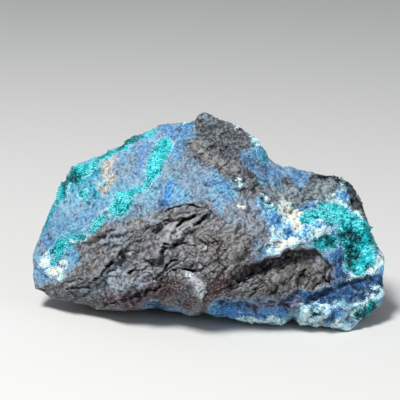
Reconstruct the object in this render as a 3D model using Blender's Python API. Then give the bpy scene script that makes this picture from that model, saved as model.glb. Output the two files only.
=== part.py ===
"""Dioptase on matrix: a hand specimen of dark, slaty rock under a blue copper skin, with druses
of small green dioptase crystals in its seams and in the pocket at its right end.

The broad face of the stone is laid out as it is seen from the front: places on it are pixels of
the front view (right and down), and depths are millimetres towards the eye. The stone stands on
its broken underside at z = 0, with the broad face looking along -Y and leaning back a little.

Run it with: blender --background --python part.py
"""

import functools
import itertools
import math
import random

import bmesh
import bpy
import numpy as np
from mathutils import Matrix, Vector
from mathutils.bvhtree import BVHTree

MM = 0.001

# Driving dimensions.
STONE_WIDTH = 165 * MM  # across the widest part of the broad face
LEAN_BACK = math.radians(18)  # of the broad face, from upright
SEEN_FROM = 700 * MM  # how far the eye is from the middle of the front view
UNDERSIDE = -58.3 * MM  # height of the broken underside, from the middle of the front view
UNDERSIDE_HOLLOWS = 1.8 * MM  # how far the underside rises off the ground in places
CRUST_GAP = 0.35 * MM  # between a druse and the rock it sits on
CRUST_RISE = 1.3 * MM  # how far a druse's crust stands up from the rock
CRUST_ROW = 2.5 * MM  # half the width of one row of crust; a wide druse has several
CRYSTAL_WIDTHS = (2.6 * MM, 4.2 * MM)
CRYSTAL_SPACING = 3.9 * MM  # between the crystals of a druse, along and across it
CRYSTAL_LEAN = 0.45  # how far they lean from the way the rock faces

# The stone's edge as the front view shows it, in pixels, clockwise from the left end.
OUTLINE = [
    (33, 262), (34, 250), (38, 240), (45, 225), (50, 210), (55, 200), (58, 190), (66, 180),
    (70, 170), (78, 164), (90, 159), (101, 156), (108, 151), (118, 148), (127, 141), (136, 136),
    (151, 130), (157, 126), (166, 124), (190, 123), (195, 120), (199, 114), (203, 112), (210, 114),
    (220, 120), (231, 124), (241, 129), (256, 140), (262, 147), (268, 157), (274, 163), (283, 167),
    (297, 169), (311, 172), (321, 176), (333, 176), (343, 179), (350, 184), (356, 193), (361, 203),
    (366, 218), (370, 232), (376, 245), (385, 263), (382, 274), (381, 283), (383, 299), (378, 308),
    (366, 315), (352, 326), (348, 331), (342, 328), (322, 325), (308, 326), (301, 322), (294, 317),
    (286, 322), (272, 326), (262, 323), (240, 320), (222, 317), (203, 312), (198, 315), (190, 316),
    (180, 312), (157, 307), (148, 308), (138, 310), (110, 310), (97, 309), (88, 305), (70, 301),
    (52, 298), (41, 290), (35, 288), (33, 275),
]
MIDDLE = np.array([210.0, 226.0])
VIEW_MIDDLE = np.array([200.0, 200.0])
PIXEL = STONE_WIDTH / (max(x for x, _ in OUTLINE) - min(x for x, _ in OUTLINE))

# How near the edge itself lies to the eye, in mm, by direction from the middle, in degrees
# turned anticlockwise from the right.
EDGE_DEPTH = [
    (-27, -3), (-20, -4), (0, -6), (16, -6), (36, -12), (57, -13), (93, -12), (121, -14),
    (152, -18), (170, -21), (192, -22), (205, -21), (217, -18), (236, -13), (263, -8), (296, -4),
    (313, -1), (323, 1),
]
FRONT_SHARE = math.radians(104)  # of the half turn from the front pole to the back, for the front
FRONT_EDGE_POWER = 11  # a higher power keeps the broad face flat closer to its edge
BACK_EDGE_POWER = 7

# Broken faces: a place on each in pixels, its depth in mm, and how much nearer it comes per
# pixel to the right and per pixel down. The surface is the farthest back of them everywhere.
FRONT_FACES = {
    "left blue face": (90, 210, -2, 0.29, 0.02),
    "upper left shoulder": (150, 150, 0, 0.02, 0.30),
    "grey-blue middle": (200, 185, 12, 0.03, 0.20),
    "dark boss": (205, 250, 22, -0.01, 0.00),
    "dark lower left": (120, 260, 8, 0.24, -0.03),
    "undercut bottom": (220, 305, 9, 0.02, -0.42),
    "right shoulder": (280, 205, 13, -0.10, 0.14),
    "pocket side": (310, 225, 12, -0.14, 0.00),
    "lower right": (340, 305, 8, -0.12, -0.16),
    "peak": (205, 135, 1, 0.02, 0.34),
    "right of the peak": (250, 140, -1, -0.24, 0.24),
}
# The same for the back, as depths behind the eye's side.
BACK_FACES = {
    "broad back": (215, 240, 52, 0.02, 0.04),
    "upper back": (195, 170, 42, 0.02, 0.22),
    "back left": (105, 240, 44, 0.14, 0.02),
    "back right": (325, 250, 42, -0.16, 0.04),
    "back lower left": (120, 290, 50, 0.08, -0.04),
    "back upper right": (290, 190, 36, -0.12, 0.22),
    "back upper left": (120, 175, 37, 0.13, 0.16),
    "back chip": (165, 215, 46, -0.04, 0.02),
    "back low chip": (260, 290, 49, 0.03, -0.05),
}
FACE_BLEND = 1.1  # mm over which neighbouring faces round into each other

# Ledges: the rock drops off on the right-hand side of each line as it is followed, by a depth
# in mm, and comes back up over a reach in pixels.
LEDGES = {
    "scoop floor slab": ([(292, 292), (298, 284), (303, 273), (309, 268)], 2.5, 10),
    "long break": (
        [(143, 266), (148, 260), (158, 259), (162, 247), (174, 243), (184, 232), (199, 225)],
        3.5, 12),
    "upper break": ([(152, 231), (163, 222), (176, 219), (190, 216), (200, 213)], 3.0, 6),
    "short break": ([(190, 224), (199, 219), (206, 216), (212, 210)], 2.5, 8),
    "left break": ([(78, 288), (98, 279), (108, 270), (116, 262), (123, 249)], 2.2, 13),
    "lower steps": ([(152, 281), (160, 275), (168, 268), (179, 260)], 2.0, 7),
    "small hole": ([(126, 273), (133, 271), (140, 270)], 2.0, 6),
    "valley beside the peak": (
        [(270, 190), (258, 180), (250, 174), (241, 168), (235, 158), (234, 147)], 1.6, 18),
    "brow over the pocket": (
        [(258, 192), (266, 198), (274, 204), (289, 208), (305, 208), (318, 201), (328, 197),
         (338, 188)], 1.4, 14),
    "groove under the pocket": (
        [(300, 296), (318, 291), (335, 285), (350, 279), (366, 275), (384, 272)], 3.0, 18),
    "foot of the boss": ([(206, 309), (222, 300), (240, 301), (262, 306)], 3.5, 14),
    "right end strip": ([(366, 226), (358, 213), (352, 205), (348, 190)], 2.5, 12),
}
LEDGE_LIP = 6.0  # pixels over which a ledge drops
LEDGE_TAPER = 0.12  # of a ledge's length, over which it dies away at each end

# The scoop broken out under an overhanging brow: the brow's line, and the rest of the way round.
SCOOP_BROW = [
    (222, 281), (232, 270), (245, 265), (262, 259), (280, 253), (292, 249), (303, 247), (314, 250),
    (326, 256), (333, 266), (335, 281),
]
SCOOP_FOOT = [(322, 290), (297, 291), (284, 300), (268, 306), (252, 303), (238, 296)]
SCOOP_DROP = 11  # mm, close under the brow
SCOOP_REACH = 24  # pixels from the brow over which the floor comes back up
SCOOP_FADE = 16  # pixels over which it runs out at the foot
SCOOP_TURNS = (266, 304)  # how far right its brow turns down, beyond which it is shallower
SCOOP_SHALLOW = 0.6  # by how large a share

# Soft hollows and swells: middle in pixels, half width and half height in pixels, turn in
# degrees, and height in mm, down if it is negative.
SWELLS = {
    "dioptase pocket": (352, 246, 24, 17, -62, -9),
    "small pocket": (326, 242, 10, 7, -10, -3),
    "lower crust": (318, 313, 26, 9, -5, 3.0),
    "lower corner": (346, 322, 12, 9, -20, 2.5),
    "gully of the green band": (157, 160, 24, 7, -62, -1.8),
    "gully lower down": (112, 214, 36, 6, -38, -1.6),
    "boss crown": (236, 252, 20, 16, -35, 2.5),
    "lower boss": (196, 286, 22, 15, -10, 3.0),
    "lens in the scoop": (266, 283, 26, 13, -28, 5.0),
}

# Waves of the rock: wave length in pixels, height in mm. They run along the slaty grain, which
# climbs to the right.
GRAIN_TURN = math.radians(-36)
GRAIN_STRETCH = 2.2
WAVES = [(46, 1.8), (21, 1.0)]
BACK_WAVES = [(60, 4.0), (30, 1.5)]
# Chips: shallow dishes with crests between them. Cell in pixels and height in mm.
CHIPS = [(34, 4.0), (16, 1.8)]
BACK_CHIPS = [(46, 11.0), (21, 3.6)]

# The druses of dioptase: lines along each, as places in pixels and the half width there.
DRUSES = {
    "dioptase_upper_left_edge": [
        [(61, 196, 3), (66, 188, 4), (75, 176, 7), (84, 169, 6), (94, 164, 4), (104, 157, 3),
         (116, 153, 3), (127, 146, 4), (138, 139, 3), (150, 135, 3)],
    ],
    "dioptase_band_top": [
        [(166, 143, 5), (162, 151, 7), (157, 160, 8), (152, 171, 8), (148, 180, 5)],
    ],
    "dioptase_band_middle": [
        [(133, 192, 4), (127, 198, 7), (121, 205, 9), (114, 212, 6)],
    ],
    "dioptase_left_corner": [
        [(98, 222, 4), (88, 229, 5), (77, 236, 6), (66, 243, 6), (57, 249, 6)],
        [(60, 248, 6), (55, 260, 5)],
    ],
    "dioptase_small_pocket": [
        [(319, 239, 4), (325, 242, 6), (331, 244, 5)],
    ],
    "dioptase_right_pocket": [
        [(333, 209, 5), (341, 216, 6), (347, 228, 7), (354, 242, 11), (357, 256, 12),
         (352, 268, 6)],
        [(356, 246, 10), (366, 246, 9), (371, 238, 5)],
    ],
    "dioptase_lower_corner": [
        [(357, 315, 4), (364, 312, 6), (372, 306, 5)],
    ],
}

CUBE_CELLS = 19  # cells along each side of the cube that the stone is shaped from


def lattice_value(corner, seed):
    """A repeatable random number from -1 to 1 for each whole-numbered place."""
    x, y, z = (corner[:, i].astype(np.int64).astype(np.uint64) for i in range(3))
    mixed = x * np.uint64(374761393) + y * np.uint64(668265263) + z * np.uint64(2246822519)
    mixed += np.uint64(seed * 3266489917)
    mixed = (mixed ^ (mixed >> np.uint64(15))) * np.uint64(2654435761)
    mixed = mixed ^ (mixed >> np.uint64(29))
    return (mixed & np.uint64(0xFFFF)).astype(float) / 0x7FFF - 1.0


def noise(places, cell, seed):
    """Smooth noise from -1 to 1: random values a cell apart, blended in between."""
    scaled = places / cell
    low = np.floor(scaled)
    part = scaled - low
    part = part * part * (3 - 2 * part)
    total = np.zeros(len(places))
    for corner in itertools.product((0.0, 1.0), repeat=3):
        weight = np.prod(np.where(corner, part, 1 - part), axis=1)
        total += weight * lattice_value(low + corner, seed)
    return total


def chips(places, cell, seed):
    """The height of a chipped surface, about -0.5 to 0.5: each cell holds a tilted dish, and
    the surface follows the lowest dish near it, so that crests run between the dishes."""
    scaled = places / cell
    home = np.floor(scaled)
    lowest = np.full(len(places), np.inf)
    for step in itertools.product((-1, 0, 1), repeat=2):
        corner = np.column_stack([home + step, np.zeros(len(places))])
        centre = np.column_stack([lattice_value(corner, seed + i) for i in (0, 1)])
        slope = np.column_stack([lattice_value(corner, seed + i) for i in (2, 3)])
        away = scaled - corner[:, :2] - 0.5 - 0.4 * centre
        dish = (away**2).sum(axis=1) + 0.45 * (away * slope).sum(axis=1)
        lowest = np.minimum(lowest, dish + 0.15 * lattice_value(corner, seed + 4))
    return lowest - 0.2


def on_plane(pixels):
    """Pixels as places for noise, on the plane of the front view."""
    return np.column_stack([pixels, np.zeros(len(pixels))])


def ease(x):
    """0 below 0, 1 above 1, and a smooth climb between."""
    x = np.clip(x, 0, 1)
    return x * x * (3 - 2 * x)


def least(depths, blend):
    """The smallest of several depths, rounded off where two nearly agree."""
    stack = np.array(depths)
    low = stack.min(axis=0)
    return low - blend * np.log(np.exp((low - stack) / blend).sum(axis=0))


def along_line(pixels, line):
    """For each pixel, its distance from a broken line, positive on the line's right-hand side,
    and how far along the line its nearest point is, from 0 to 1."""
    line = np.array(line, float)
    steps = np.diff(line, axis=0)
    lengths = np.hypot(*steps.T)
    starts = np.concatenate([[0], np.cumsum(lengths)])
    nearest = np.full(len(pixels), np.inf)
    signed = np.zeros(len(pixels))
    share = np.zeros(len(pixels))
    for start, step, length, begun in zip(line, steps, lengths, starts):
        away = pixels - start
        t = np.clip(away @ step / length**2, 0, 1)
        gap = away - t[:, None] * step
        distance = np.hypot(*gap.T)
        right = away @ np.array([-step[1], step[0]])
        closer = distance < nearest
        nearest = np.where(closer, distance, nearest)
        signed = np.where(closer, np.where(right < 0, -distance, distance), signed)
        share = np.where(closer, (begun + t * length) / starts[-1], share)
    return signed, share


def ledge_drop(pixels, line, depth, reach):
    """A sudden drop across the line, which dies away with distance and at the line's ends."""
    signed, share = along_line(pixels, line)
    ends = ease(share / LEDGE_TAPER) * ease((1 - share) / LEDGE_TAPER)
    below = ease(signed / LEDGE_LIP) * np.exp(-((np.maximum(signed, 0) / reach) ** 2))
    return -depth * ends * below


def inside_patch(pixels, corners):
    """Pixels inside a closed outline, positive inside and negative outside: the distance to the
    nearest side, signed by how often a ray to the right crosses the outline."""
    corners = np.array(corners, float)
    distance, _ = along_line(pixels, np.vstack([corners, corners[:1]]))
    x, y = pixels.T
    odd = np.zeros(len(pixels), bool)
    for (x1, y1), (x2, y2) in zip(corners, np.roll(corners, -1, axis=0)):
        crosses = (y1 > y) != (y2 > y)
        with np.errstate(divide="ignore", invalid="ignore"):
            odd ^= crosses & (x < x1 + (y - y1) * (x2 - x1) / (y2 - y1))
    return np.where(odd, 1, -1) * np.abs(distance)


def scoop_drop(pixels):
    """The scoop: deepest close under its brow, with a floor that comes up again towards the foot."""
    inside = inside_patch(pixels, SCOOP_BROW + SCOOP_FOOT)
    brow, _ = along_line(pixels, SCOOP_BROW)
    foot, _ = along_line(pixels, SCOOP_FOOT)
    rises = ease(np.abs(foot) / SCOOP_FADE) * np.exp(-((brow / SCOOP_REACH) ** 2))
    rises *= 1 - SCOOP_SHALLOW * ease((pixels[:, 0] - SCOOP_TURNS[1]) / SCOOP_FADE)
    rises *= 1 - SCOOP_SHALLOW * ease((SCOOP_TURNS[0] - pixels[:, 0]) / (2 * SCOOP_FADE))
    return -SCOOP_DROP * ease(inside / LEDGE_LIP) * rises


def swell(pixels, x, y, half_width, half_height, turn, height):
    """A rounded hollow or rise in the shape of a turned oval."""
    c, s = math.cos(math.radians(turn)), math.sin(math.radians(turn))
    right, down = (pixels - (x, y)).T
    u, v = (right * c + down * s) / half_width, (down * c - right * s) / half_height
    return height * np.exp(-((u * u + v * v) ** 1.5))


def along_grain(pixels):
    """Pixels turned and drawn together along the slaty grain, so that noise is streaky there."""
    c, s = math.cos(GRAIN_TURN), math.sin(GRAIN_TURN)
    right, down = pixels.T
    return np.column_stack([(right * c + down * s) / GRAIN_STRETCH, down * c - right * s])


def faces_depth(pixels, faces):
    planes = [
        depth + right * (pixels[:, 0] - x) + down * (pixels[:, 1] - y)
        for x, y, depth, right, down in faces.values()
    ]
    return least(planes, FACE_BLEND)


def front_depth(pixels):
    """How near the broad face comes to the eye, in mm, at each pixel."""
    crinkle = [noise(on_plane(pixels), 9.0, seed) for seed in (11, 12)]
    bent = pixels + 1.6 * np.column_stack(crinkle)
    depth = faces_depth(bent, FRONT_FACES) + scoop_drop(bent)
    for line, drop, reach in LEDGES.values():
        depth += ledge_drop(bent, line, drop, reach)
    for oval in SWELLS.values():
        depth += swell(bent, *oval)
    for seed, (length, height) in enumerate(WAVES):
        depth += height * noise(on_plane(along_grain(pixels)), length, 20 + seed)
    for seed, (cell, height) in enumerate(CHIPS):
        depth += height * chips(along_grain(bent), cell, 100 + 10 * seed)
    return depth


def back_depth(pixels):
    """How far the hidden side lies behind, in mm, at each pixel."""
    depth = faces_depth(pixels, BACK_FACES)
    for seed, (length, height) in enumerate(BACK_WAVES):
        depth += height * noise(on_plane(pixels), length, 40 + seed)
    for seed, (cell, height) in enumerate(BACK_CHIPS):
        depth += height * chips(pixels, cell, 140 + 10 * seed)
    return depth


def edge_reach(turn):
    """The outline's distance from the middle in each direction, in pixels."""
    right, down = (np.array(OUTLINE, float) - MIDDLE).T
    turns, reaches = np.arctan2(-down, right), np.hypot(right, down)
    order = np.argsort(turns)
    return np.interp(turn, turns[order], reaches[order], period=2 * math.pi)


def edge_depth(turn):
    turns, depths = np.array(EDGE_DEPTH, float).T
    return np.interp(np.degrees(turn), turns, depths, period=360)


def to_world(pixels, depth):
    """Front-view pixels and depths in mm as points in metres. What is nearer to the eye is
    drawn in towards the line of sight, so that it still covers the same pixel."""
    near = depth * MM
    spread = PIXEL * (1 - near / SEEN_FROM)
    right = (pixels[:, 0] - VIEW_MIDDLE[0]) * spread
    up = (VIEW_MIDDLE[1] - pixels[:, 1]) * spread
    c, s = math.cos(LEAN_BACK), math.sin(LEAN_BACK)
    return np.column_stack([right, up * s - near * c, up * c + near * s])


def stone_points(directions):
    """The stone's surface for unit directions from its middle, where +Z looks at the eye. The
    front part of the sphere becomes the broad face, and the rest the hidden side."""
    turn = np.arctan2(directions[:, 1], directions[:, 0])
    fall = np.arccos(np.clip(directions[:, 2], -1, 1))
    front = fall < FRONT_SHARE
    share = np.where(front, fall / FRONT_SHARE, (math.pi - fall) / (math.pi - FRONT_SHARE))
    out = np.sin(share * math.pi / 2)
    reach = edge_reach(turn) * out
    pixels = MIDDLE + np.column_stack([reach * np.cos(turn), -reach * np.sin(turn)])
    edge = edge_depth(turn)
    near = edge + (front_depth(pixels) - edge) * np.sqrt(1 - out**FRONT_EDGE_POWER)
    far = edge - (back_depth(pixels) + edge) * np.sqrt(1 - out**BACK_EDGE_POWER)
    points = to_world(pixels, np.where(front, near, far))
    below = np.maximum(UNDERSIDE - points[:, 2], 0)
    hollow = np.maximum(UNDERSIDE_HOLLOWS * (noise(points, 17 * MM, 60) - 0.2), 0)
    points[:, 2] += below + np.minimum(hollow, below)
    return points


def clear_scene():
    for obj in list(bpy.data.objects):
        bpy.data.objects.remove(obj, do_unlink=True)


def collection(name):
    made = bpy.data.collections.new(name)
    bpy.context.scene.collection.children.link(made)
    return made


def material(name, colour, roughness):
    made = bpy.data.materials.new(name)
    made.use_nodes = True
    surface = made.node_tree.nodes["Principled BSDF"]
    surface.inputs["Base Color"].default_value = (*colour, 1)
    surface.inputs["Roughness"].default_value = roughness
    made.diffuse_color = (*colour, 1)
    return made


def add_object(name, bm, into, finish):
    mesh = bpy.data.meshes.new(name)
    bm.to_mesh(mesh)
    bm.free()
    obj = bpy.data.objects.new(name, mesh)
    into.objects.link(obj)
    mesh.materials.append(finish)
    return obj


def make_matrix(into):
    """The rock: a cube of small cells, blown up into a sphere and then shaped as the stone.
    Returns it with the move that brings the middle of its footprint to the origin."""
    bm = bmesh.new()
    bmesh.ops.create_cube(bm, size=2)
    bmesh.ops.subdivide_edges(bm, edges=bm.edges[:], cuts=CUBE_CELLS - 1, use_grid_fill=True)
    even = np.tan(np.array([v.co for v in bm.verts]) * math.pi / 4)
    directions = even / np.linalg.norm(even, axis=1)[:, None]
    points = stone_points(directions)
    low, high = points.min(axis=0), points.max(axis=0)
    move = -np.array([(low[0] + high[0]) / 2, (low[1] + high[1]) / 2, low[2]])
    for vertex, point in zip(bm.verts, points + move):
        vertex.co = point
    bm.normal_update()
    bmesh.ops.triangulate(bm, faces=bm.faces[:])
    rock = add_object("matrix", bm, into, material("slaty rock", (0.11, 0.12, 0.14), 0.85))
    return rock, move


def grown_copy(obj, name, distance, into):
    """A copy of a solid, swollen along its normals, to cut other solids with."""
    bm = bmesh.new()
    bm.from_mesh(obj.data)
    bm.normal_update()
    for vertex, place in zip(bm.verts, [v.co + v.normal * distance for v in bm.verts]):
        vertex.co = place
    grown = add_object(name, bm, into, obj.data.materials[0])
    grown.hide_render = True
    grown.display_type = "WIRE"
    return grown


def surface_seen_at(tree, move, x, y):
    """The point of the rock that the front view shows at a pixel, and the way it faces."""
    eye, target = to_world(np.array([VIEW_MIDDLE, (x, y)]), np.array([SEEN_FROM / MM, 0.0])) + move
    eye = Vector(eye)
    place, normal, _, _ = tree.ray_cast(eye, (Vector(target) - eye).normalized())
    return place, normal


def add_crystal(bm, place, axis, spin, width, length):
    """A six-sided prism whose top is three sloping rhombs, as dioptase grows."""
    turn = axis.to_track_quat("Z", "Y").to_matrix().to_4x4()
    made = bmesh.ops.create_cone(
        bm, cap_ends=True, cap_tris=True, segments=6, radius1=width / 2, radius2=width / 2,
        depth=length, matrix=Matrix.Translation((0, 0, length / 2)),
    )["verts"]
    ring = [v for v in made if v.co.z > length / 2 and v.co.xy.length > width / 4]
    ring.sort(key=lambda v: math.atan2(v.co.y, v.co.x))
    for i, vertex in enumerate(ring):
        vertex.co.z -= width * (0.25 if i % 2 else 0.5)
    stand = Matrix.Translation(place) @ turn @ Matrix.Rotation(spin, 4, "Z")
    bmesh.ops.transform(bm, matrix=stand, verts=made)


def add_crust_row(bm, spots):
    """A low swelling along a row of (place, normal): a buried rope, of which only the top
    stands out of the rock."""
    radius = (CRUST_ROW**2 + CRUST_RISE**2) / (2 * CRUST_RISE)
    curve = bpy.data.curves.new("crust", "CURVE")
    curve.dimensions = "3D"
    curve.bevel_depth = radius
    curve.bevel_resolution = 1
    curve.use_fill_caps = True
    spline = curve.splines.new("POLY")
    spline.points.add(len(spots) - 1)
    for point, (place, normal) in zip(spline.points, spots):
        point.co = (*(place + normal * (CRUST_RISE - radius)), 1)
    holder = bpy.data.objects.new("crust", curve)
    bpy.context.scene.collection.objects.link(holder)
    graph = bpy.context.evaluated_depsgraph_get()
    shape = bpy.data.meshes.new_from_object(holder.evaluated_get(graph))
    bpy.data.objects.remove(holder, do_unlink=True)
    before = set(bm.verts)
    bm.from_mesh(shape)
    fresh = [v for v in bm.verts if v not in before]
    bmesh.ops.remove_doubles(bm, verts=fresh, dist=0.00001)


def keep_largest_body(mesh):
    bm = bmesh.new()
    bm.from_mesh(mesh)
    left, bodies = set(bm.faces), []
    while left:
        body, queue = set(), [left.pop()]
        while queue:
            face = queue.pop()
            body.add(face)
            for edge in face.edges:
                queue += [f for f in edge.link_faces if f in left]
                left.difference_update(edge.link_faces)
        bodies.append(body)
    bodies.sort(key=lambda b: sum(f.calc_area() for f in b))
    for body in bodies[:-1]:
        bmesh.ops.delete(bm, geom=list(body), context="FACES")
    bmesh.ops.triangulate(bm, faces=bm.faces[:])
    bm.to_mesh(mesh)
    bm.free()


def across_line(line, along, side):
    """The pixel at a share of the way along a line of (x, y, half width), off to one side by a
    share of the half width."""
    line = np.array(line, float)
    lengths = np.hypot(*np.diff(line[:, :2], axis=0).T)
    starts = np.concatenate([[0], np.cumsum(lengths)]) / lengths.sum()
    x, y, half_width = (np.interp(along, starts, column) for column in line.T)
    i = min(np.searchsorted(starts, along, side="right") - 1, len(lengths) - 1)
    step = (line[i + 1, :2] - line[i, :2]) / lengths[i]
    return x - step[1] * side * half_width, y + step[0] * side * half_width


def make_druse(name, lines, seen_at, cutter, into, finish, chance):
    """Crystals grown together on a common crust, as one solid that lies on the rock."""
    bm = bmesh.new()
    for line in lines:
        length = sum(math.dist(a[:2], b[:2]) for a, b in zip(line, line[1:])) * PIXEL
        width = 2 * max(half for _, _, half in line) * PIXEL
        rows = math.ceil(width / (2 * CRUST_ROW))
        for row in range(rows):
            side = (row + 0.5) / rows * 2 - 1
            spots = [across_line(line, t, side) for t in np.linspace(0, 1, 3 + int(length / 0.006))]
            spots = [seen_at(*spot) for spot in spots]
            add_crust_row(bm, [spot for spot in spots if spot[0] is not None])
        steps, lanes = round(length / CRYSTAL_SPACING), max(1, round(width / CRYSTAL_SPACING))
        for step, lane in itertools.product(range(steps + 1), range(lanes)):
            along = min(max((step + chance.uniform(-0.3, 0.3)) / steps, 0), 1)
            side = (lane + chance.uniform(0.2, 0.8)) / lanes * 2 - 1
            place, facing = seen_at(*across_line(line, along, side * 0.9))
            if place is None:
                continue
            lean = Vector([chance.uniform(-1, 1) for _ in range(3)]) * CRYSTAL_LEAN
            across = chance.uniform(*CRYSTAL_WIDTHS)
            tall = across * chance.uniform(1.1, 1.5) + 1 * MM
            root = place - facing * 1.4 * MM
            add_crystal(bm, root, (facing + lean).normalized(), chance.uniform(0, 3), across, tall)
    druse = add_object(name, bm, into, finish)
    cut = druse.modifiers.new("sit on the rock", "BOOLEAN")
    cut.operation = "DIFFERENCE"
    cut.solver = "EXACT"
    cut.use_self = True
    cut.object = cutter
    graph = bpy.context.evaluated_depsgraph_get()
    seated = bpy.data.meshes.new_from_object(druse.evaluated_get(graph))
    druse.modifiers.remove(cut)
    keep_largest_body(seated)
    druse.data = seated
    return druse


def main():
    clear_scene()
    specimen, cutters = collection("dioptase on matrix"), collection("cutters")
    matrix, move = make_matrix(specimen)
    swollen = grown_copy(matrix, "swollen rock", CRUST_GAP, cutters)
    tree = BVHTree.FromPolygons(
        [v.co for v in matrix.data.vertices], [p.vertices for p in matrix.data.polygons])
    chance = random.Random(5)
    for name, lines in DRUSES.items():
        finish = material(name, (0.0, 0.30, 0.21), 0.2)
        seen_at = functools.partial(surface_seen_at, tree, move)
        make_druse(name, lines, seen_at, swollen, specimen, finish, chance)


main()
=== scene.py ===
"""Dioptase on matrix: the finished look of the specimen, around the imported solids."""

import itertools
import math

import bpy
import numpy as np
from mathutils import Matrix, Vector


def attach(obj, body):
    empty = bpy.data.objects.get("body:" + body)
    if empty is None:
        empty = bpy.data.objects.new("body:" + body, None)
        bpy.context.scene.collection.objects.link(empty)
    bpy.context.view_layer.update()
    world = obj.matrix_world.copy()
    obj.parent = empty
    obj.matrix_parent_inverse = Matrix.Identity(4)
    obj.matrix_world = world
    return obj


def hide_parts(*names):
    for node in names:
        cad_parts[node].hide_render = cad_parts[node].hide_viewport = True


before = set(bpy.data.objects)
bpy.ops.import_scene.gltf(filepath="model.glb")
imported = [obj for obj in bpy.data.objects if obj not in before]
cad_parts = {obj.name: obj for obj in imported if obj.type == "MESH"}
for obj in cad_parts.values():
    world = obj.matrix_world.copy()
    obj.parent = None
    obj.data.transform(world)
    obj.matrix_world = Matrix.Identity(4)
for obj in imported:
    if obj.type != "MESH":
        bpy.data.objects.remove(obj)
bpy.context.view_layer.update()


# The matrix: a fist-sized block of dark slaty rock, broken on all sides. Its broad face is laid
# out in pixels of the front view, and how near each place comes to the eye is in millimetres.
# It is one closed skin: a cube's grids, blown up to a sphere and shaped as the stone.

MM = 0.001
STONE_WIDTH = 165 * MM
LEAN_BACK = math.radians(18)
SEEN_FROM = 700 * MM
UNDERSIDE = -58.3 * MM
UNDERSIDE_HOLLOWS = 1.8 * MM
STONE_CELLS = 128

OUTLINE = [
    (33, 262), (34, 250), (38, 240), (45, 225), (50, 210), (55, 200), (58, 190), (66, 180),
    (70, 170), (78, 164), (90, 159), (101, 156), (108, 151), (118, 148), (127, 141), (136, 136),
    (151, 130), (157, 126), (166, 124), (190, 123), (195, 120), (199, 114), (203, 112), (210, 114),
    (220, 120), (231, 124), (241, 129), (256, 140), (262, 147), (268, 157), (274, 163), (283, 167),
    (297, 169), (311, 172), (321, 176), (333, 176), (343, 179), (350, 184), (356, 193), (361, 203),
    (366, 218), (370, 232), (376, 245), (385, 263), (382, 274), (381, 283), (383, 299), (378, 308),
    (366, 315), (352, 326), (348, 331), (342, 328), (322, 325), (308, 326), (301, 322), (294, 317),
    (286, 322), (272, 326), (262, 323), (240, 320), (222, 317), (203, 312), (198, 315), (190, 316),
    (180, 312), (157, 307), (148, 308), (138, 310), (110, 310), (97, 309), (88, 305), (70, 301),
    (52, 298), (41, 290), (35, 288), (33, 275),
]
MIDDLE = np.array([210.0, 226.0])
VIEW_MIDDLE = np.array([200.0, 200.0])
PIXEL = STONE_WIDTH / (max(x for x, _ in OUTLINE) - min(x for x, _ in OUTLINE))
# The outline's own depth: a turn in degrees from the right, upwards, and mm towards the eye.
EDGE_DEPTH = [
    (-27, -3), (-20, -4), (0, -6), (16, -6), (36, -12), (57, -13), (93, -12), (121, -14),
    (152, -18), (170, -21), (192, -22), (205, -21), (217, -18), (236, -13), (263, -8), (296, -4),
    (313, -1), (323, 1),
]
# The angle of the sphere that the front takes, and how squarely each side meets the edge.
FRONT_SHARE = math.radians(122)
FRONT_EDGE_POWER = 11
BACK_EDGE_POWER = 7

# Broken faces: x, y, depth, and how much nearer they come per pixel to the right and down.
FRONT_FACES = {
    "left blue face": (90, 210, -2, 0.29, 0.02),
    "upper left shoulder": (150, 150, 0, 0.02, 0.30),
    "grey-blue middle": (200, 185, 12, 0.03, 0.20),
    "dark boss": (205, 250, 22, -0.01, 0.00),
    "dark lower left": (120, 260, 8, 0.24, -0.03),
    "undercut bottom": (220, 305, 9, 0.02, -0.42),
    "right shoulder": (280, 205, 13, -0.10, 0.14),
    "pocket side": (310, 225, 12, -0.14, 0.00),
    "lower right": (340, 305, 8, -0.12, -0.16),
    "peak": (205, 135, 1, 0.02, 0.34),
    "right of the peak": (250, 140, -1, -0.24, 0.24),
}
BACK_FACES = {
    "broad back": (215, 240, 52, 0.02, 0.04),
    "upper back": (195, 170, 42, 0.02, 0.22),
    "back left": (105, 240, 44, 0.14, 0.02),
    "back right": (325, 250, 42, -0.16, 0.04),
    "back lower left": (120, 290, 50, 0.08, -0.04),
    "back upper right": (290, 190, 36, -0.12, 0.22),
    "back upper left": (120, 175, 37, 0.13, 0.16),
    "back chip": (165, 215, 46, -0.04, 0.02),
    "back low chip": (260, 290, 49, 0.03, -0.05),
}
FACE_BLEND = 1.1  # mm

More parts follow.
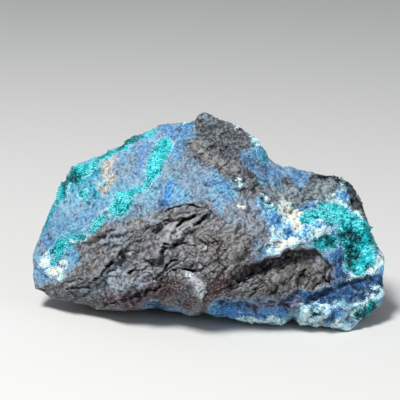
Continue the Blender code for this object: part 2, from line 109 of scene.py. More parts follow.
# Ledges: points, drop in mm on the right-hand side, reach and lip in pixels.
LEDGES = {
    "scoop floor slab": ([(292, 292), (298, 284), (303, 273), (309, 268)], 2.5, 10, 1.2),
    "long break": (
        [(143, 266), (148, 260), (158, 259), (162, 247), (174, 243), (184, 232), (199, 225)],
        3.5, 12, 1.2),
    "upper break": ([(152, 231), (163, 222), (176, 219), (190, 216), (200, 213)], 3.0, 6, 1.2),
    "short break": ([(190, 224), (199, 219), (206, 216), (212, 210)], 2.5, 8, 1.2),
    "left break": ([(78, 288), (98, 279), (108, 270), (116, 262), (123, 249)], 2.2, 13, 2.4),
    "lower steps": ([(152, 281), (160, 275), (168, 268), (179, 260)], 2.0, 7, 1.2),
    "small hole": ([(126, 273), (133, 271), (140, 270)], 2.0, 6, 1.2),
    "valley beside the peak": (
        [(270, 190), (258, 180), (250, 174), (241, 168), (235, 158), (234, 147)], 1.6, 18, 8.0),
    "brow over the pocket": (
        [(258, 192), (266, 198), (274, 204), (289, 208), (305, 208), (318, 201), (328, 197),
         (338, 188)], 1.4, 14, 4.0),
    "groove under the pocket": (
        [(300, 296), (318, 291), (335, 285), (350, 279), (366, 275), (384, 272)], 3.0, 18, 2.2),
    "foot of the boss": ([(206, 309), (222, 300), (240, 301), (262, 306)], 3.5, 14, 2.0),
    "right end strip": ([(366, 226), (358, 213), (352, 205), (348, 190)], 2.5, 12, 2.0),
}
LEDGE_TAPER = 0.12  # share of a ledge's length, at each end
# The scoop under its overhanging brow: the brow's line, and the rest of the way round. Its drop
# is in mm, its reach, lip and fade in pixels, and beyond two places across it is shallower.
SCOOP_BROW = [
    (222, 281), (232, 270), (245, 265), (262, 259), (280, 253), (292, 249), (303, 247), (314, 250),
    (326, 256), (333, 266), (335, 281),
]
SCOOP_FOOT = [(322, 290), (297, 291), (284, 300), (268, 306), (252, 303), (238, 296)]
SCOOP_DROP, SCOOP_REACH, SCOOP_LIP, SCOOP_FADE = 11, 24, 3.0, 16.0
SCOOP_SHALLOW, SCOOP_TURNS = 0.6, (266, 304)

# Cracks and open joints of the slate: points, depth in mm, half width in pixels.
CRACKS = [
    ([(143, 266), (145, 261), (150, 260), (155, 260), (159, 258), (162, 253), (162, 248), (166, 244),
      (174, 243), (176, 238), (182, 233), (190, 227), (197, 221), (205, 217), (212, 211)], 3.4, 1.2),
    ([(152, 232), (157, 225), (164, 221), (172, 219), (179, 221)], 2.8, 1.3),
    ([(174, 228), (181, 223), (187, 218), (197, 214)], 3.2, 1.6),
    ([(163, 213), (172, 209), (183, 206), (192, 206), (201, 208)], 2.5, 1.1),
    ([(123, 248), (118, 255), (113, 263), (109, 267), (103, 272), (97, 278), (91, 283), (86, 287)],
     4.0, 1.6),
    ([(111, 246), (122, 247), (128, 241), (133, 237)], 2.0, 0.9), ([(122, 248), (134, 251)], 2.0, 0.9),
    ([(102, 250), (105, 253), (110, 257)], 2.2, 1.1), ([(106, 238), (108, 246)], 1.5, 0.9),
    ([(128, 275), (133, 271), (139, 268)], 4.0, 1.9), ([(130, 266), (136, 265)], 2.5, 1.2),
    ([(152, 282), (160, 275), (165, 268), (170, 262), (179, 259)], 3.2, 1.2),
    ([(158, 284), (166, 276), (172, 269), (182, 269), (192, 270), (201, 272)], 2.8, 1.1),
    ([(68, 285), (75, 281), (83, 277)], 2.8, 1.4), ([(66, 290), (78, 289), (92, 287)], 2.4, 1.4),
    ([(100, 306), (112, 303), (126, 298), (141, 293), (156, 289), (169, 284)], 2.6, 2.6),
    ([(171, 247), (183, 243), (197, 246)], 2.2, 1.6), ([(180, 246), (185, 252), (194, 257)], 1.5, 1.0),
    ([(221, 242), (218, 252), (219, 262), (224, 272)], 2.0, 1.2),
    ([(204, 232), (212, 238), (219, 240)], 1.6, 1.0),
    ([(236, 238), (246, 234), (256, 238), (258, 248)], 1.5, 1.1),
    ([(196, 262), (206, 266), (214, 274)], 1.6, 1.1),
    ([(241, 286), (250, 276), (262, 269), (275, 262)], 1.4, 1.2),
    ([(262, 276), (276, 266), (290, 259)], 2.0, 1.0), ([(283, 287), (290, 279), (297, 272)], 3.0, 1.3),
    ([(296, 287), (301, 278), (303, 271), (306, 266)], 3.2, 1.5),
    ([(322, 276), (327, 281), (332, 284)], 3.5, 2.4), ([(246, 298), (258, 290), (266, 284)], 1.6, 1.0),
    ([(250, 292), (262, 284), (276, 274), (288, 266)], 2.2, 1.0),
    ([(268, 296), (278, 288), (286, 280)], 2.0, 1.0),
    ([(304, 290), (310, 282), (314, 273)], 2.4, 1.1), ([(312, 290), (319, 282), (325, 273)], 2.4, 1.1),
    ([(272, 263), (284, 258), (296, 255)], 2.2, 1.2), ([(234, 290), (244, 284), (252, 278)], 2.4, 1.2),
]

# Soft hollows and swells: x, y, half width, half height, turn in degrees, height in mm.
SWELLS = {
    "dioptase pocket": (352, 246, 24, 17, -62, -9),
    "small pocket": (326, 242, 10, 7, -10, -3),
    "lower crust": (318, 313, 26, 9, -5, 3.0),
    "lower corner": (346, 322, 12, 9, -20, 2.5),
    "gully of the green band": (157, 160, 24, 7, -62, -1.8),
    "gully lower down": (112, 214, 36, 6, -38, -1.6),
    "boss crown": (236, 252, 20, 16, -35, 2.5),
    "lower boss": (196, 286, 22, 15, -10, 3.0),
    "lens in the scoop": (266, 283, 26, 13, -28, 5.0),
}
# Spots where the slate broke off smooth: x, y, half width, half height, turn, share smoothed.
SMOOTH_SPOTS = [
    (318, 262, 11, 9, -40, 0.9), (193, 234, 9, 6, -30, 0.8), (352, 290, 30, 6, -10, 0.6),
]
# Where the scoop's floor breaks into longer plates, as an oval of the same six numbers.
SCOOP_FLOOR = (274, 280, 40, 17, -28, 1)
# The slate's grain, and the lengths in pixels and heights in mm of its waves and chips.
GRAIN_TURN = math.radians(-36)
GRAIN_STRETCH = 2.2
WAVES = [(46, 1.8), (21, 1.0)]
BACK_WAVES = [(60, 4.0), (30, 1.5)]
CHIPS = [(34, 4.0), (16, 1.8)]
BACK_CHIPS = [(46, 11.0), (21, 3.6)]
# The saw-teeth of bare slate: their width in pixels, height in mm, and where the edge starts.
STEP_WIDTH, STEP_HEIGHT, STEP_EDGE = 16, 1.1, 0.86


def lattice_value(corner, seed):
    """Repeatable random numbers from -1 to 1: a whole-numbered place's digits, multiplied and
    folded over until nothing of their order is left."""
    x, y, z = (corner[:, i].astype(np.int64).astype(np.uint64) for i in range(3))
    mixed = x * np.uint64(374761393) + y * np.uint64(668265263) + z * np.uint64(2246822519)
    mixed += np.uint64(seed * 3266489917)
    mixed = (mixed ^ (mixed >> np.uint64(15))) * np.uint64(2654435761)
    mixed = mixed ^ (mixed >> np.uint64(29))
    return (mixed & np.uint64(0xFFFF)).astype(float) / 0x7FFF - 1.0


def noise(places, cell, seed):
    """Smooth noise from -1 to 1: the random values of a cell's eight corners, weighted by
    3t^2 - 2t^3 along each axis."""
    scaled = places / cell
    low = np.floor(scaled)
    part = scaled - low
    part = part * part * (3 - 2 * part)
    total = np.zeros(len(places))
    for corner in itertools.product((0.0, 1.0), repeat=3):
        weight = np.prod(np.where(corner, part, 1 - part), axis=1)
        total += weight * lattice_value(low + corner, seed)
    return total


def cells_around(places, cell, seed, wander):
    """For each cell next to each place, with its centre moved at random by up to a share: the
    squared distance d from it, its random slope s times the way there, and its own height h."""
    width = places.shape[1]
    scaled = places / cell
    home = np.floor(scaled)
    for step in itertools.product((-1, 0, 1), repeat=width):
        corner = np.zeros((len(places), 3))
        corner[:, :width] = home + step
        centre = np.column_stack([lattice_value(corner, seed + i) for i in range(width)])
        slope = np.column_stack([lattice_value(corner, seed + width + i) for i in range(width)])
        away = scaled - corner[:, :width] - 0.5 - wander * centre
        height = lattice_value(corner, seed + 2 * width)
        yield (away**2).sum(axis=1), (away * slope).sum(axis=1), height


def chips(places, cell, seed):
    """A chipped surface of tilted dishes: the lowest d + 0.45 * s + 0.15 * h of the cells around,
    so that crests run between the dishes."""
    lowest = np.full(len(places), np.inf)
    for squared, slope, height in cells_around(places, cell, seed, 0.4):
        lowest = np.minimum(lowest, squared + 0.45 * slope + 0.15 * height)
    return lowest - 0.2


def plates(places, cell, seed):
    """Broken plates, each with a height and a tilt of its own: the mean of 0.8 * s + 0.35 * h over
    the cells around, weighted by exp(-34 * d), so that it steps at the borders."""
    total, weights = np.zeros(len(places)), np.zeros(len(places))
    for squared, slope, height in cells_around(places, cell, seed, 0.45):
        weight = np.exp(-34 * squared)
        total += weight * (0.8 * slope + 0.35 * height)
        weights += weight
    return total / weights


def on_plane(pixels):
    """Pixels as places in space, with 0 as the third coordinate."""
    return np.column_stack([pixels, np.zeros(len(pixels))])


def shake(pixels, reach, size, seed):
    """How far noise of a size and two seeds moves each pixel to the right and down."""
    flat = on_plane(pixels)
    return reach * np.column_stack([noise(flat, size, seed), noise(flat, size, seed + 1)])


def ease(x):
    """0 below 0, 1 above 1, and 3x^2 - 2x^3 between."""
    x = np.clip(x, 0, 1)
    return x * x * (3 - 2 * x)


def cover(inside, border):
    """1 inside a zone and 0 outside it, eased over a border of so many pixels."""
    return ease(0.5 + inside / border)


def least(depths, blend):
    """The smallest of several depths, less blend * log of the sum of exp of their differences,
    which rounds off the crease where two nearly agree."""
    stack = np.array(depths)
    low = stack.min(axis=0)
    return low - blend * np.log(np.exp((low - stack) / blend).sum(axis=0))


def along_line(pixels, line):
    """For each pixel, its distance from a broken line, positive on the line's right-hand side,
    and how far along the line its nearest point is, from 0 to 1."""
    line = np.array(line, float)
    steps = np.diff(line, axis=0)
    lengths = np.hypot(*steps.T)
    starts = np.concatenate([[0], np.cumsum(lengths)])
    nearest = np.full(len(pixels), np.inf)
    signed = np.zeros(len(pixels))
    share = np.zeros(len(pixels))
    for start, step, length, begun in zip(line, steps, lengths, starts):
        away = pixels - start
        t = np.clip(away @ step / length**2, 0, 1)
        distance = np.hypot(*(away - t[:, None] * step).T)
        right = away @ np.array([-step[1], step[0]])
        closer = distance < nearest
        nearest = np.where(closer, distance, nearest)
        signed = np.where(closer, np.where(right < 0, -distance, distance), signed)
        share = np.where(closer, (begun + t * length) / starts[-1], share)
    return signed, share


def ledge_drop(pixels, line, depth, reach, lip):
    """-depth * ends * ease(distance / lip) * exp(-(distance / reach)^2) on the right-hand side."""
    signed, share = along_line(pixels, line)
    ends = ease(share / LEDGE_TAPER) * ease((1 - share) / LEDGE_TAPER)
    below = ease(signed / lip) * np.exp(-((np.maximum(signed, 0) / reach) ** 2))
    return -depth * ends * below


def scoop_drop(pixels):
    """-drop * ease(pixels inside / lip) * ease(distance from the foot / fade)
    * exp(-(distance from the brow / reach)^2), and shallower beyond both turns of the brow."""
    inside = inside_patch(pixels, SCOOP_BROW + SCOOP_FOOT)
    brow, _ = along_line(pixels, SCOOP_BROW)
    foot, _ = along_line(pixels, SCOOP_FOOT)
    rises = ease(np.abs(foot) / SCOOP_FADE) * np.exp(-((brow / SCOOP_REACH) ** 2))
    rises *= 1 - SCOOP_SHALLOW * ease((pixels[:, 0] - SCOOP_TURNS[1]) / SCOOP_FADE)
    rises *= 1 - SCOOP_SHALLOW * ease((SCOOP_TURNS[0] - pixels[:, 0]) / (2 * SCOOP_FADE))
    return -SCOOP_DROP * ease(inside / SCOOP_LIP) * rises


def cracked(pixels):
    """How deep the cracks cut in mm: depth * ends * ease(steep walls), the deepest of them."""
    flat = on_plane(pixels)
    wider = 0.55 + 0.35 * noise(flat, 5.0, 330)
    shaken = [noise(flat, 5.5, seed) + 0.5 * noise(flat, 2.4, seed + 2) for seed in (331, 332)]
    pixels = pixels + 1.1 * np.column_stack(shaken)
    deepest = np.zeros(len(pixels))
    for line, deep, width in CRACKS:
        distance, share = along_line(pixels, line)
        ends = ease(share / 0.1) * ease((1 - share) / 0.1)
        walls = ease((1.7 * wider - np.abs(distance) / width) / 0.9)
        deepest = np.maximum(deepest, deep * ends * walls)
    return deepest


def swell(pixels, x, y, half_width, half_height, turn, height):
    """height * exp(-r^3), where r is 1 on the turned oval."""
    c, s = math.cos(math.radians(turn)), math.sin(math.radians(turn))
    right, down = (pixels - (x, y)).T
    u, v = (right * c + down * s) / half_width, (down * c - right * s) / half_height
    return height * np.exp(-((u * u + v * v) ** 1.5))


def roughness(pixels):
    """1 on broken rock, and less in the smooth spots."""
    return 1 - np.maximum.reduce([swell(pixels, *spot) for spot in SMOOTH_SPOTS])


def along_grain(pixels):
    """Pixels turned so that the first coordinate runs along the grain, shortened by its stretch."""
    c, s = math.cos(GRAIN_TURN), math.sin(GRAIN_TURN)
    right, down = pixels.T
    return np.column_stack([(right * c + down * s) / GRAIN_STRETCH, down * c - right * s])


def faces_depth(pixels, faces):
    """The least of the faces' planes, depth + right * (x - x0) + down * (y - y0)."""
    planes = [
        depth + right * (pixels[:, 0] - x) + down * (pixels[:, 1] - y)
        for x, y, depth, right, down in faces.values()
    ]
    return least(planes, FACE_BLEND)


def inside_patch(pixels, corners):
    """Pixels inside a closed outline, positive inside and negative outside: the distance to the
    nearest side, signed by how often a ray to the right crosses the outline."""
    corners = np.array(corners, float)
    distance, _ = along_line(pixels, np.vstack([corners, corners[:1]]))
    x, y = pixels.T
    odd = np.zeros(len(pixels), bool)
    for (x1, y1), (x2, y2) in zip(corners, np.roll(corners, -1, axis=0)):
        crosses = (y1 > y) != (y2 > y)
        with np.errstate(divide="ignore", invalid="ignore"):
            odd ^= crosses & (x < x1 + (y - y1) * (x2 - x1) / (y2 - y1))
    return np.where(odd, 1, -1) * np.abs(distance)


def inside_strokes(pixels, *strokes):
    """Pixels inside the widest of several brush strokes: the half width there less the distance
    from the stroke's line."""
    best = np.full(len(pixels), -99.0)
    for stroke in strokes:
        stroke = np.array(stroke, float)
        if len(stroke) == 1:
            gap = np.hypot(*(pixels - stroke[0, :2]).T)
            best = np.maximum(best, stroke[0, 2] - gap)
            continue
        distance, share = along_line(pixels, stroke[:, :2])
        marks = np.concatenate([[0], np.cumsum(np.hypot(*np.diff(stroke[:, :2], axis=0).T))])
        half = np.interp(share, marks / marks[-1], stroke[:, 2])
        best = np.maximum(best, half - np.abs(distance))
    return best


# The slaty core shows bare in two places: the big boss with the scoop, and the peak with the
# band that runs from it to the right end.
BARE_SLATE = [
    (79, 240), (102, 225), (135, 219), (160, 211), (175, 205), (205, 200), (217, 207), (227, 217),
    (245, 223), (255, 232), (258, 248), (256, 259), (270, 256), (284, 251), (303, 246), (314, 249),
    (326, 255), (334, 265), (335, 280), (315, 289), (296, 292),
    (280, 301), (245, 300), (214, 300), (200, 318), (186, 313),
    (170, 309), (159, 302), (149, 299), (142, 309),
    (110, 316), (60, 306), (30, 294), (34, 284), (60, 280), (76, 262),
]
PEAK_AND_BAND = [
    (195, 122), (199, 108), (222, 112), (250, 130), (258, 139), (250, 147), (240, 151), (239, 160),
    (250, 171), (263, 184), (272, 191), (282, 189), (284, 178), (288, 174), (294, 184), (304, 189),
    (308, 178), (310, 166), (345, 172), (362, 190), (372, 222), (364, 222), (356, 212), (350, 198),
    (349, 186), (338, 189), (330, 196), (315, 202), (296, 206), (274, 206), (259, 200), (243, 197),
    (233, 188), (221, 175), (205, 168), (188, 158), (184, 144), (195, 132),
]


def front_depth(pixels):
    """How near the broad face comes to the eye: the farthest back of its broken faces, less the
    drops of the scoop and the ledges, plus swells, waves, chips along the grain and the slate's
    steps, less the cracks."""
    bent = pixels + shake(pixels, 1.6, 9.0, 11)
    ragged = bent + shake(pixels, 0.9, 3.4, 13)
    jagged = bent + shake(pixels, 2.0, 5.0, 15)
    depth = faces_depth(bent, FRONT_FACES)
    depth += scoop_drop(jagged)
    for line, drop, reach, lip in LEDGES.values():
        depth += ledge_drop(ragged, line, drop, reach, lip)
    for oval in SWELLS.values():
        depth += swell(bent, *oval)
    for seed, (length, height) in enumerate(WAVES):
        depth += height * noise(on_plane(along_grain(pixels)), length, 20 + seed)
    rough = roughness(bent)
    for seed, (cell, height) in enumerate(CHIPS):
        depth += rough * height * chips(along_grain(bent), cell, 100 + 10 * seed)
    return depth + rough * slaty_steps(ragged) - cracked(ragged)


def slaty_steps(pixels):
    """Bare slate breaks in steps along its grain, a saw-tooth s - ease((s - edge) / (1 - edge))
    across it that noise bends, and in plates of two sizes, with longer ones in the scoop's floor.
    The peak and its band break only in plates."""
    bare = ease(inside_patch(pixels, BARE_SLATE) / 10)
    grain = along_grain(pixels)
    flat = on_plane(grain)
    bend = noise(flat, 26, 31) + 0.6 * noise(flat, 11, 32)
    tooth = np.mod(grain[:, 1] / STEP_WIDTH + 0.9 * bend, 1)
    tooth -= ease((tooth - STEP_EDGE) / (1 - STEP_EDGE))
    steps = STEP_HEIGHT * ease(0.4 + 1.2 * noise(flat, 24, 33)) * tooth
    blocky = grain * (GRAIN_STRETCH / 1.7, 1)
    bent = blocky + shake(pixels, 1.2, 7.0, 34)
    steps += 3.4 * plates(bent, 16, 300) + 1.7 * plates(bent * (0.7, 1), 7, 310)
    within = swell(pixels, *SCOOP_FLOOR)
    steps += within * (2.4 * plates(blocky * (0.55, 1.1), 12, 370) - 0.7 * steps)
    peak = ease(inside_patch(pixels, PEAK_AND_BAND) / 4)
    return bare * steps + peak * (1.6 * plates(bent, 13, 350) + 1.1 * plates(bent, 6, 360))


def back_depth(pixels):
    """How far back the hidden side lies: the least of its broken faces, plus waves and chips."""
    depth = faces_depth(pixels, BACK_FACES)
    for seed, (length, height) in enumerate(BACK_WAVES):
        depth += height * noise(on_plane(pixels), length, 40 + seed)
    for seed, (cell, height) in enumerate(BACK_CHIPS):
        depth += height * chips(pixels, cell, 140 + 10 * seed)
    return depth


def edge_reach(turn):
    """The outline's distance from the middle in each direction, in pixels."""
    right, down = (np.array(OUTLINE, float) - MIDDLE).T
    turns, reaches = np.arctan2(-down, right), np.hypot(right, down)
    order = np.argsort(turns)
    return np.interp(turn, turns[order], reaches[order], period=2 * math.pi)


def edge_depth(turn):
    """The outline's depth in each direction, in mm, straight between the table's rows."""
    turns, depths = np.array(EDGE_DEPTH, float).T
    return np.interp(np.degrees(turn), turns, depths, period=360)


def to_world(pixels, depth):
    """Pixels and depths in mm as points in metres: (x, y) * (1 - depth / distance), then leaned
    back, so that a nearer point still covers the same pixel."""
    near = depth * MM
    spread = PIXEL * (1 - near / SEEN_FROM)
    right = (pixels[:, 0] - VIEW_MIDDLE[0]) * spread
    up = (VIEW_MIDDLE[1] - pixels[:, 1]) * spread
    c, s = math.cos(LEAN_BACK), math.sin(LEAN_BACK)
    return np.column_stack([right, up * s - near * c, up * c + near * s])


def cube_grids(cells):
    """Six grids of two parameters, the sides of a cube, with shared corners made one. Returns a
    direction from the middle for each corner, tan(45 degrees * place) normalised, and quads."""
    step = np.arange(cells + 1)
    u, v = np.meshgrid(step, step, indexing="ij")
    low, high = np.zeros_like(u), np.full_like(u, cells)
    sides = [(u, v, high), (v, u, low), (high, u, v), (low, v, u), (v, high, u), (u, low, v)]
    places = np.array(sides).transpose(0, 2, 3, 1).reshape(-1, 3)
    keys = (places[:, 0] * (cells + 1) + places[:, 1]) * (cells + 1) + places[:, 2]
    _, first, shared = np.unique(keys, return_index=True, return_inverse=True)
    grid = shared.reshape(6, cells + 1, cells + 1)
    quads = np.stack([grid[:, :-1, :-1], grid[:, 1:, :-1], grid[:, 1:, 1:], grid[:, :-1, 1:]], axis=-1)
    even = np.tan((places[first] / cells * 2 - 1) * math.pi / 4)
    return even / np.linalg.norm(even, axis=1)[:, None], quads.reshape(-1, 4)


def stone_skin(directions):
    """The stone's surface: polar angle to a share s of the front or the back, a reach of
    outline * sin(90 degrees * s), and a depth that closes on the edge as sqrt(1 - sin^n).
    Returns points, pixels, and how far each lies behind the edge in mm."""
    turn = np.arctan2(directions[:, 1], directions[:, 0])
    fall = np.arccos(np.clip(directions[:, 2], -1, 1))
    front = fall < FRONT_SHARE
    share = np.where(front, fall / FRONT_SHARE, (math.pi - fall) / (math.pi - FRONT_SHARE))
    out = np.sin(share * math.pi / 2)
    reach = edge_reach(turn) * out
    pixels = MIDDLE + np.column_stack([reach * np.cos(turn), -reach * np.sin(turn)])
    edge = edge_depth(turn)
    near = edge + (front_depth(pixels) - edge) * np.sqrt(1 - out**FRONT_EDGE_POWER)
    far = edge - (back_depth(pixels) + edge) * np.sqrt(1 - out**BACK_EDGE_POWER)
    points = to_world(pixels, np.where(front, near, far))
    below = np.maximum(UNDERSIDE - points[:, 2], 0)
    hollow = np.maximum(UNDERSIDE_HOLLOWS * (noise(points, 17 * MM, 60) - 0.2), 0)
    points[:, 2] += below + np.minimum(hollow, below)
    return points, pixels, np.where(front, 0, edge - far)


def facing(points, quads):
    """Each point's outward direction: the sum of its quads' crossed diagonals, normalised."""
    a, b, c, d = (points[quads[:, i]] for i in range(4))
    across = np.cross(c - a, d - b)
    total = np.zeros_like(points)
    for i in range(4):
        for axis in range(3):
            total[:, axis] += np.bincount(quads[:, i], across[:, axis], len(points))
    return total / np.maximum(np.linalg.norm(total, axis=1)[:, None], 1e-20)


def settled(values, quads, rounds):
    """Values averaged with their neighbours', again and again, as (own + neighbours' mean) / 2."""
    pairs = np.concatenate([quads[:, [0, 1]], quads[:, [1, 2]], quads[:, [2, 3]], quads[:, [3, 0]]])
    count = np.bincount(pairs.ravel(), minlength=len(values))
    for _ in range(rounds):
        total = np.column_stack([
            np.bincount(pairs[:, 0], column[pairs[:, 1]], len(values))
            + np.bincount(pairs[:, 1], column[pairs[:, 0]], len(values))
            for column in values.T
        ])
        values = (values + total / count[:, None]) / 2
    return values


directions, stone_quads = cube_grids(STONE_CELLS)
stone, pixels, behind = stone_skin(directions)
# The stone is moved to stand on the table, with its middle over the origin.
stone_low, stone_high = stone.min(axis=0), stone.max(axis=0)
MOVE = -np.array([(stone_low[0] + stone_high[0]) / 2, (stone_low[1] + stone_high[1]) / 2, stone_low[2]])
stone += MOVE

# What grows and shows where, painted in pixels: patches with an outline, and brush
# strokes, each a line of points with x, y and the half width there.
DRUSES = {
    "dioptase_upper_left_edge": [
        [(57, 202, 3), (60, 192, 4), (65, 184, 4)],
        [(73, 178, 5), (79, 173, 7), (88, 166, 4), (96, 162, 3)],
        [(99, 159, 2.5), (108, 154, 2.5), (118, 151, 2.5), (127, 146, 2.5), (136, 140, 2.5)],
        [(147, 135, 2), (153, 133, 2)],
        [(82, 194, 4)], [(101, 183, 1.5)],
    ],
    "dioptase_band_top": [
        [(166, 143, 5), (162, 150, 8), (157, 160, 8), (153, 170, 8), (149, 178, 5)],
        [(145, 185, 4), (140, 190, 4)],
    ],
    "dioptase_band_middle": [
        [(135, 193, 4), (127, 198, 8), (122, 206, 9), (116, 211, 5)],
    ],
    "dioptase_left_corner": [
        [(104, 218, 3), (96, 223, 5), (91, 230, 3)], [(82, 235, 2), (76, 238, 2)],
        [(66, 243, 3), (58, 249, 6), (60, 255, 3)], [(54, 261, 3)],
    ],
    "dioptase_small_pocket": [
        [(317, 239, 4), (325, 242, 7), (333, 244, 5)],
    ],
    "dioptase_right_pocket": [
        [(326, 208, 5), (335, 213, 9), (344, 220, 12), (351, 230, 15), (359, 241, 16), (361, 254, 15),
         (354, 267, 8)],
        [(302, 220, 4), (309, 218, 7), (318, 215, 5), (327, 217, 6)],
    ],
    "dioptase_lower_corner": [
        [(355, 316, 3), (362, 313, 5), (370, 309, 5)],
    ],
}
brush = pixels + sum(
    shake(pixels, reach, size, seed)
    for reach, size, seed in ((3.2, 13, 61), (2.0, 6, 63), (1.1, 2.7, 65)))
green_of = {name: inside_strokes(brush, *strokes) for name, strokes in DRUSES.items()}
PATCHES = {
    "slate": BARE_SLATE,
    "brown": PEAK_AND_BAND,
    "crust": [
        (258, 196), (264, 197), (275, 203), (296, 206), (316, 201), (330, 196), (340, 188), (350, 197),
        (356, 210), (364, 224), (360, 232), (340, 234), (318, 231), (306, 239), (292, 247), (276, 254),
        (262, 258), (268, 244), (272, 236), (268, 222), (262, 210),
    ],
}
